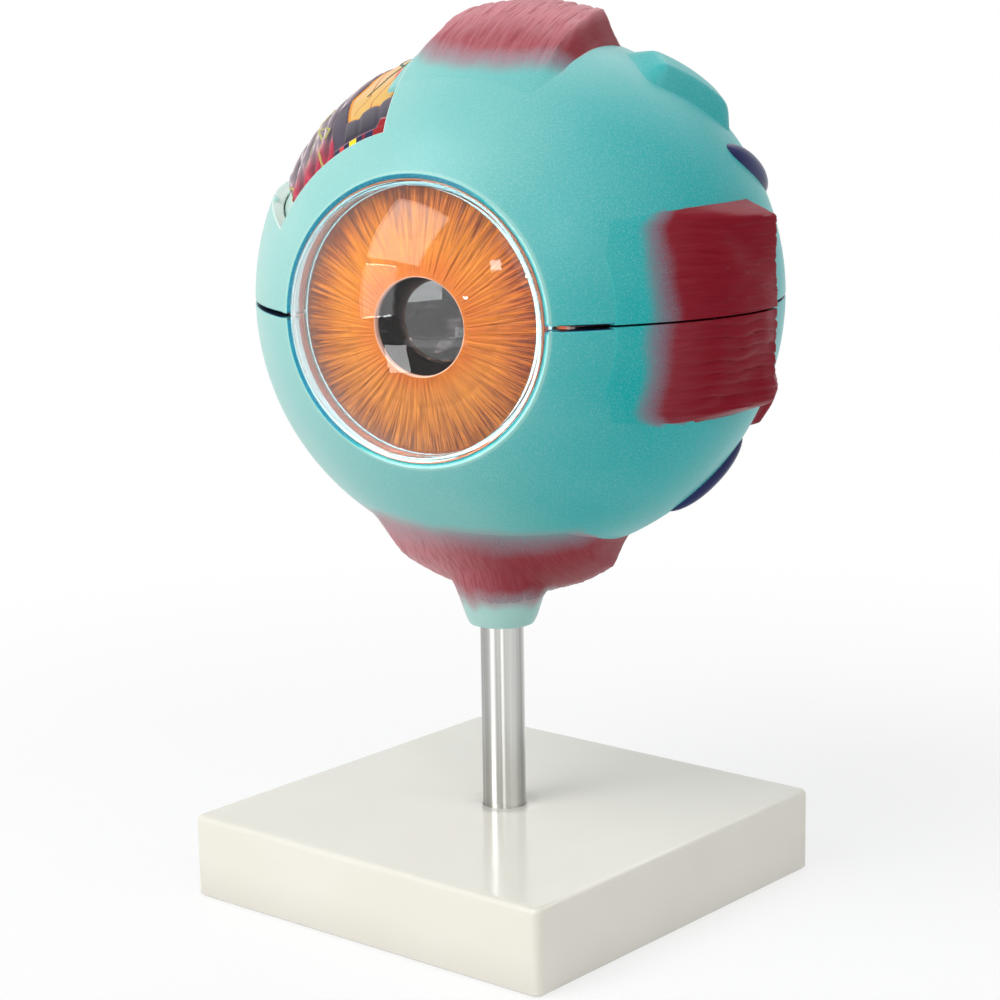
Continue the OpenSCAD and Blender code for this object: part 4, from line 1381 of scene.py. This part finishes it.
# ---------------------------------------------------------------- ciliary ring
# Brown ring glued in front of the vitreous body, with some seventy folds that run in to the
# lens, which it holds.
ring_front, ring_back, ring_bore = 53.9, 44.83, 27.4
folds = 70
ciliary_paint, tree, surface = finish_of("ciliary_paint", (84, 48, 38), 0.45)
rough_up(tree, surface, 0.45, 0.06, 0.06)
height = node(tree, "Attribute", attribute_name="fold").outputs["Fac"]
tree.links.new(mixed(tree, height, (46, 26, 28), (142, 88, 66)), surface.inputs["Base Color"])
count = folds * 8
turn = np.linspace(0, math.tau, count, endpoint=False)
fold = 0.5 + 0.5 * np.cos(turn * folds + 0.8 * np.sin(turn * 9))
section = [(ring_bore, ring_back, 0.0), (ring_bore, ring_back + 2, 0.3), (ring_bore, ring_back + 5, 1.0),
           (ring_bore + 0.2, ring_front - 1.2, 1.0), (ring_bore + 1.0, ring_front, 0.8),
           (ring_bore + 3.5, ring_front, 0.5), (ring_bore + 6.5, ring_front, 0.1)]
section += [(r, d, 0.0) for r, d in arc(VITREOUS - 0.05, 0, polar_at(ring_front, VITREOUS) + 0.6,
                                        polar_at(ring_back, VITREOUS), 9)]
rings = []
for radius, distance, share in section:
    valley = (1 - fold) * share * 1.5
    out = radius + valley * (distance < ring_front - 0.5)
    forward = distance - valley * (distance >= ring_front - 0.5)
    rings.append(np.stack([out * np.cos(turn), -forward + 0 * turn, out * np.sin(turn)], 1))
points, faces = skin(rings + [rings[0]], False, False)
ring = build("ciliary_folds", (on_rod(points), faces), ciliary_paint, 60)
p = in_eye(ring)
around = np.arctan2(p[:, 2], p[:, 0])
fold_here = 0.5 + 0.5 * np.cos(around * folds + 0.8 * np.sin(around * 9))
near_bore = 1 - smooth(ring_bore + 2, ring_bore + 7, np.hypot(p[:, 0], p[:, 2]))
note(ring, "fold", 1 - (1 - fold_here) * near_bore)
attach(ring, "vitreous")
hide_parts("ciliary_ring")

# ---------------------------------------------------------------- lens
# Clear acrylic lens, polished on both faces, with a narrow flat band round its edge; it lies
# loose between the vitreous body and the iris.
lens_pole = 53.4
lens_front_radius = 60.0
lens_radius = 27.0
lens_edge = math.degrees(math.asin(lens_radius / lens_front_radius))
outline = arc(lens_front_radius, lens_pole - lens_front_radius, 0, lens_edge - 0.25, 28)
lens_back_edge = 180 - math.degrees(math.asin(lens_radius / lens_back_radius))
outline += arc(lens_back_radius, lens_back_centre, lens_back_edge, 180, 28)
lens_plastic = clear_plastic("lens_acrylic", (150, 136, 138), 0.01, 1.8)
lens = build("lens_body", turned(outline), lens_plastic, 30)
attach(lens, "lens_body")
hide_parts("lens")

# ---------------------------------------------------------------- iris
# A moulded amber disc that rises a little towards the pupil, with fine brown fibres painted in
# from its edge and a thin pale rim round the pupil. It lies loose behind the cornea.
IRIS_BACK = 54.6
iris_thick = 1.8
iris_rise = 3.0
iris_flat = 33.5
iris_radius = 35.75
pupil_radius = 12.6
pupil_drop = 1.5
cone_end = 10.0
fibre_count = 150.0


def iris_level(radius):
    """Height of the iris's cone at a distance from the optical axis."""
    return IRIS_BACK + iris_rise * np.clip((iris_flat - radius) / (iris_flat - cone_end), 0, 1)


count = 480
turn = np.linspace(0, math.tau, count, endpoint=False)
front_rings, back_rings = [], []
for share in np.concatenate([[0, 0.006], np.linspace(0.02, 0.965, 44), [0.98, 0.99, 0.996, 1]]):
    radius = iris_radius + (pupil_radius - iris_radius) * share
    x, z = radius * np.cos(turn), radius * np.sin(turn) - pupil_drop * share
    level = iris_level(np.hypot(x, z))
    relief = 0.16 * waves(np.cos(turn) * 40, np.sin(turn) * 40 + share * 2, 91, 0.9)
    relief = relief * smooth(0.02, 0.1, share) * (1 - smooth(0.93, 0.98, share))
    relief = relief - 0.22 * np.exp(-((share - 0.62) / 0.045) ** 2) * (1 + 0.5 * np.cos(turn * 23))
    rim = 0.16 * smooth(0.975, 0.985, share) - 0.3 * smooth(0.99, 1, share)
    rim = rim - 0.25 * (1 - smooth(0, 0.02, share))
    front_rings.append(np.stack([x, -(level + iris_thick - 0.1 + np.minimum(relief + rim, 0.08)), z], 1))
    back_rings.append(np.stack([x, -level, z], 1))
points, faces = skin(front_rings + back_rings[::-1] + [front_rings[0]], False, False)
iris_paint, tree, surface = finish_of("iris_paint", (214, 124, 46), 0.5, Specular_IOR_Level=0.12)
rough_up(tree, surface, 0.55, 0.04, 0.03, per_metre=1500.0)
fibre = node(tree, "Attribute", attribute_name="fibre").outputs["Vector"]
where = told(tree, "where")
fine = node(tree, "TexNoise", {"Vector": fibre, "Scale": 1.0, "Detail": 3.5, "Roughness": 0.65})
lengths = node(tree, "TexNoise", {"Vector": fibre, "Scale": 0.12, "Detail": 1.0})
place = node(tree, "TexCoord").outputs["Object"]
cloud = node(tree, "TexNoise", {"Vector": place, "Scale": 75.0, "Detail": 3.0})
amber = mixed(tree, cloud.outputs["Fac"], (122, 40, 4), (142, 76, 6))
ring_mid = math_node(tree, "MULTIPLY", inside_band(tree, where["X"], 0.34, 0.78, 0.16), 0.7)
amber = mixed(tree, ring_mid, amber, (144, 82, 8))
amber = mixed(tree, math_node(tree, "MULTIPLY", where["Y"], 0.8), amber, (122, 30, 4))
amber = mixed(tree, math_node(tree, "MULTIPLY", where["Z"], 0.6), amber, (136, 82, 38))
pale = inside_band(tree, fine.outputs["Fac"], 0.56, None, 0.08)
amber = mixed(tree, math_node(tree, "MULTIPLY", pale, 0.5), amber, (174, 106, 20))
taper = math_node(tree, "MULTIPLY_ADD", where["X"], -0.26, 0.56)
taper = math_node(tree, "MULTIPLY_ADD", lengths.outputs["Fac"], 0.12, taper)
within = math_node(tree, "SUBTRACT", taper, fine.outputs["Fac"])
dark = node(tree, "MapRange", {"Value": within, "From Min": 0.0, "From Max": 0.1}).outputs["Result"]
amber = mixed(tree, math_node(tree, "MULTIPLY", dark, 0.85), amber, (58, 14, 6))
edge = math_node(tree, "MULTIPLY", inside_band(tree, where["X"], 0.07, 0.105, 0.012), 0.75)
amber = mixed(tree, edge, amber, (84, 28, 14))
# Pale blue-grey round the very edge, under the cornea's skirt: partly the blue of the sclera's wall seen
# through it, partly a painted reflection in the skirt.
amber = mixed(tree, inside_band(tree, where["X"], -1.0, 0.074, 0.006), amber, (150, 186, 192))
amber = mixed(tree, inside_band(tree, where["X"], 0.988, None, 0.005), amber, (160, 120, 104))
tree.links.new(amber, surface.inputs["Base Color"])
iris = build("iris_disc", (on_rod(points), faces), iris_paint, 50)
p = in_eye(iris)
around = np.arctan2(p[:, 2], p[:, 0])
share = np.zeros(len(p))
for _ in range(12):
    radius_here = np.hypot(p[:, 0], p[:, 2] + pupil_drop * share)
    share = np.clip((iris_radius - radius_here) / (iris_radius - pupil_radius), 0, 1)
around = np.arctan2(p[:, 2] + pupil_drop * share, p[:, 0])
note(iris, "fibre", np.stack([np.cos(around) * fibre_count, np.sin(around) * fibre_count, share * 2.2], 1))
to_side = smooth(0.5, 1, np.cos(around)) * (1 - share)
below = smooth(-0.1, 0.95, -np.sin(around)) * (1 - smooth(0.75, 1, share))
note(iris, "where", np.stack([share, to_side, below], 1))
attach(iris, "iris_body")
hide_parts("iris")

# ---------------------------------------------------------------- cornea
# A clear acrylic dome on a short skirt, seated in the round opening of the sclera, with the
# polished edge of its skirt against the iris.
CORNEA_R = 47.0
cornea_wall = 1.8
skirt_radius = LIMBUS - 0.3
skirt_back = 56.5
limbus_forward = math.sqrt(BALL ** 2 - LIMBUS ** 2)
dome_centre = limbus_forward - math.sqrt(CORNEA_R ** 2 - skirt_radius ** 2)
rim_round = 0.35
inner_dome = CORNEA_R - cornea_wall
inner_skirt = skirt_radius - cornea_wall
outline = arc(CORNEA_R, dome_centre, 0, math.degrees(math.asin(skirt_radius / CORNEA_R)) - 0.4, 40)
outline += [(skirt_radius, limbus_forward - 0.5), (skirt_radius, skirt_back + rim_round)]
outline += [(skirt_radius - rim_round, skirt_back), (inner_skirt + rim_round, skirt_back),
            (inner_skirt, skirt_back + rim_round)]
inner_edge = math.degrees(math.asin(inner_skirt / inner_dome))
outline += arc(inner_dome, dome_centre, inner_edge, 0, 40)
cornea_plastic = clear_plastic("cornea_acrylic", (250, 253, 253), 0.0, 1.28)
cornea = build("cornea_dome", turned(outline, 160), cornea_plastic, 25)
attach(cornea, "cornea_body")
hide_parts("cornea")

seal_plastic, tree, surface = finish_of("seal_plastic", (150, 92, 62), 0.35)
used, _ = rough_up(tree, surface, 0.35, 0.05, 0.02)
blotchy = mixed(tree, used.outputs["Mottle"], (132, 74, 48), (184, 124, 88))
tree.links.new(blotchy, surface.inputs["Base Color"])
bead = [(skirt_radius + 0.2 + 0.18 * math.cos(t), limbus_forward - 0.75 + 0.18 * math.sin(t))
        for t in np.linspace(0, math.tau, 12)]
around = np.linspace(0, math.tau, 160, endpoint=False)
rings = [np.stack([r * np.cos(around), np.full(160, -d), r * np.sin(around)], 1) for r, d in bead]
points, faces = skin(rings, False, False)
seal = build("cornea_seal", (on_rod(points), faces), seal_plastic)
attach(seal, "cornea_body")

# ---------------------------------------------------------------- floor, lamps and camera
# A white sheet that fades to plain white away from the model; softboxes in front, beside, behind
# and below; small and large windows that only the clear pieces mirror; and the camera, to the
# model's left and a little above it.
sheet_size = 6.0
eye_centre = Vector(tuple(on_rod([0, 0, 0])[0] * MM))
sheet = bpy.data.meshes.new("floor_sheet")
work = bmesh.new()
bmesh.ops.create_grid(work, x_segments=8, y_segments=8, size=sheet_size)
bmesh.ops.translate(work, verts=work.verts, vec=(0, 0, -0.0002))
work.to_mesh(sheet)
work.free()
floor = bpy.data.objects.new("floor_sheet", sheet)
bpy.context.scene.collection.objects.link(floor)
floor_paper, tree, surface = finish_of("floor_paper", (240, 240, 240), 0.6)
path = node(tree, "LightPath")
mirrored = math_node(tree, "MAXIMUM", path.outputs["Is Glossy Ray"], path.outputs["Is Transmission Ray"])
seen = math_node(tree, "MAXIMUM", path.outputs["Is Camera Ray"], mirrored)
from_middle = node(tree, "VectorMath", {0: node(tree, "TexCoord").outputs["Object"]}, operation="LENGTH")
away = node(tree, "MapRange", {"Value": from_middle.outputs["Value"], "From Min": 0.1, "From Max": 0.45,
                               "To Min": 0.68, "To Max": 1.0}, interpolation_type="SMOOTHSTEP")
white = node(tree, "Emission", {"Color": (1, 1, 1, 1), "Strength": 1.0})
sheet_mix = node(tree, "MixShader", {0: math_node(tree, "MULTIPLY", seen, away.outputs["Result"])})
tree.links.new(surface.outputs["BSDF"], sheet_mix.inputs[1])
tree.links.new(white.outputs["Emission"], sheet_mix.inputs[2])
tree.links.new(sheet_mix.outputs["Shader"], tree.nodes["Material Output"].inputs["Surface"])
sheet.materials.append(floor_paper)

world = bpy.data.worlds.new("white_room")
bpy.context.scene.world = world
world.use_nodes = True
tree = world.node_tree
path = node(tree, "LightPath")
mirrored = math_node(tree, "MAXIMUM", path.outputs["Is Glossy Ray"], path.outputs["Is Transmission Ray"])
seen = math_node(tree, "MAXIMUM", path.outputs["Is Camera Ray"], mirrored)
ambient = 0.42
strength = math_node(tree, "MULTIPLY_ADD", seen, 1.0 - ambient, ambient)
tree.nodes["Background"].inputs["Color"].default_value = (1, 1, 1, 1)
tree.links.new(strength, tree.nodes["Background"].inputs["Strength"])

clear_parts = bpy.data.collections.new("clear_parts")
for piece in (cornea, lens):
    clear_parts.objects.link(piece)


def lamp(name, compass, height, distance, width, tall, watts, tilt=0.0, onto=None):
    """An area lamp turned to the eye; compass runs from straight ahead to the model's left.

    With onto, it shines on the pieces of that collection alone, for their reflections.
    """
    c, h, t = math.radians(compass), math.radians(height), math.radians(tilt)
    way = Vector((math.sin(c) * math.cos(h), -math.cos(c) * math.cos(h), math.sin(h)))
    level = Vector((0, 0, 1)).cross(way).normalized()
    upward = way.cross(level)
    across = math.cos(t) * level + math.sin(t) * upward
    data = bpy.data.lights.new(name, "AREA")
    data.shape = "RECTANGLE"
    data.size, data.size_y = width, tall
    data.energy = watts
    made = bpy.data.objects.new(name, data)
    made.location = eye_centre + way * distance
    made.rotation_euler = Matrix((across, way.cross(across), way)).transposed().to_euler()
    if onto:
        made.light_linking.receiver_collection = onto
        made.visible_diffuse = False
        made.visible_transmission = False
    bpy.context.scene.collection.objects.link(made)


lamp("key_softbox", -15.4, 48, 0.9, 0.58, 0.56, 4.8, 5.0)
lamp("key_window", -15.4, 48, 0.9, 0.58, 0.56, 42.0, 5.0, clear_parts)
lamp("low_softbox", -18, 13.5, 0.9, 0.36, 0.42, 1.5, 8.0)
lamp("low_window", -18, 13.5, 0.9, 0.34, 0.44, 18.0, 8.0, clear_parts)
lamp("left_softbox", -75, 25, 1.2, 0.9, 0.9, 0.25)
lamp("right_softbox", 95, 35, 1.5, 1.0, 1.0, 2.8)
lamp("back_softbox", 180, 50, 1.5, 1.2, 1.0, 4.0)
lamp("side_spot", 60, 32, 1.2, 0.13, 0.13, 0.9)
lamp("small_window", 39, 13, 1.2, 0.05, 0.03, 0.5, 0.0, clear_parts)
lamp("far_window", 79, 23, 1.2, 0.05, 0.05, 0.4, 0.0, clear_parts)
lamp("under_softbox", 20, -25, 0.6, 0.4, 0.3, 0.6)
lamp("table_window", -2, -20, 0.36, 0.08, 0.09, 0.4, 0.0, clear_parts)

camera_place = (0.4382, -0.5221, 0.2482)
camera_compass, camera_drop, camera_roll = math.radians(40.01), math.radians(11.55), math.radians(-0.88)
ahead = Vector((-math.sin(camera_compass) * math.cos(camera_drop),
                math.cos(camera_compass) * math.cos(camera_drop), -math.sin(camera_drop)))
lens_data = bpy.data.cameras.new("camera")
lens_data.lens = 91.94
lens_data.sensor_width = 36.0
lens_data.clip_start, lens_data.clip_end = 0.01, 30.0
camera = bpy.data.objects.new("camera", lens_data)
camera.location = camera_place
turned_camera = ahead.to_track_quat("-Z", "Y").to_matrix()
camera.rotation_euler = (turned_camera @ Matrix.Rotation(camera_roll, 3, "Z")).to_euler()
bpy.context.scene.collection.objects.link(camera)
bpy.context.scene.camera = camera
bpy.context.scene.view_settings.view_transform = "Standard"
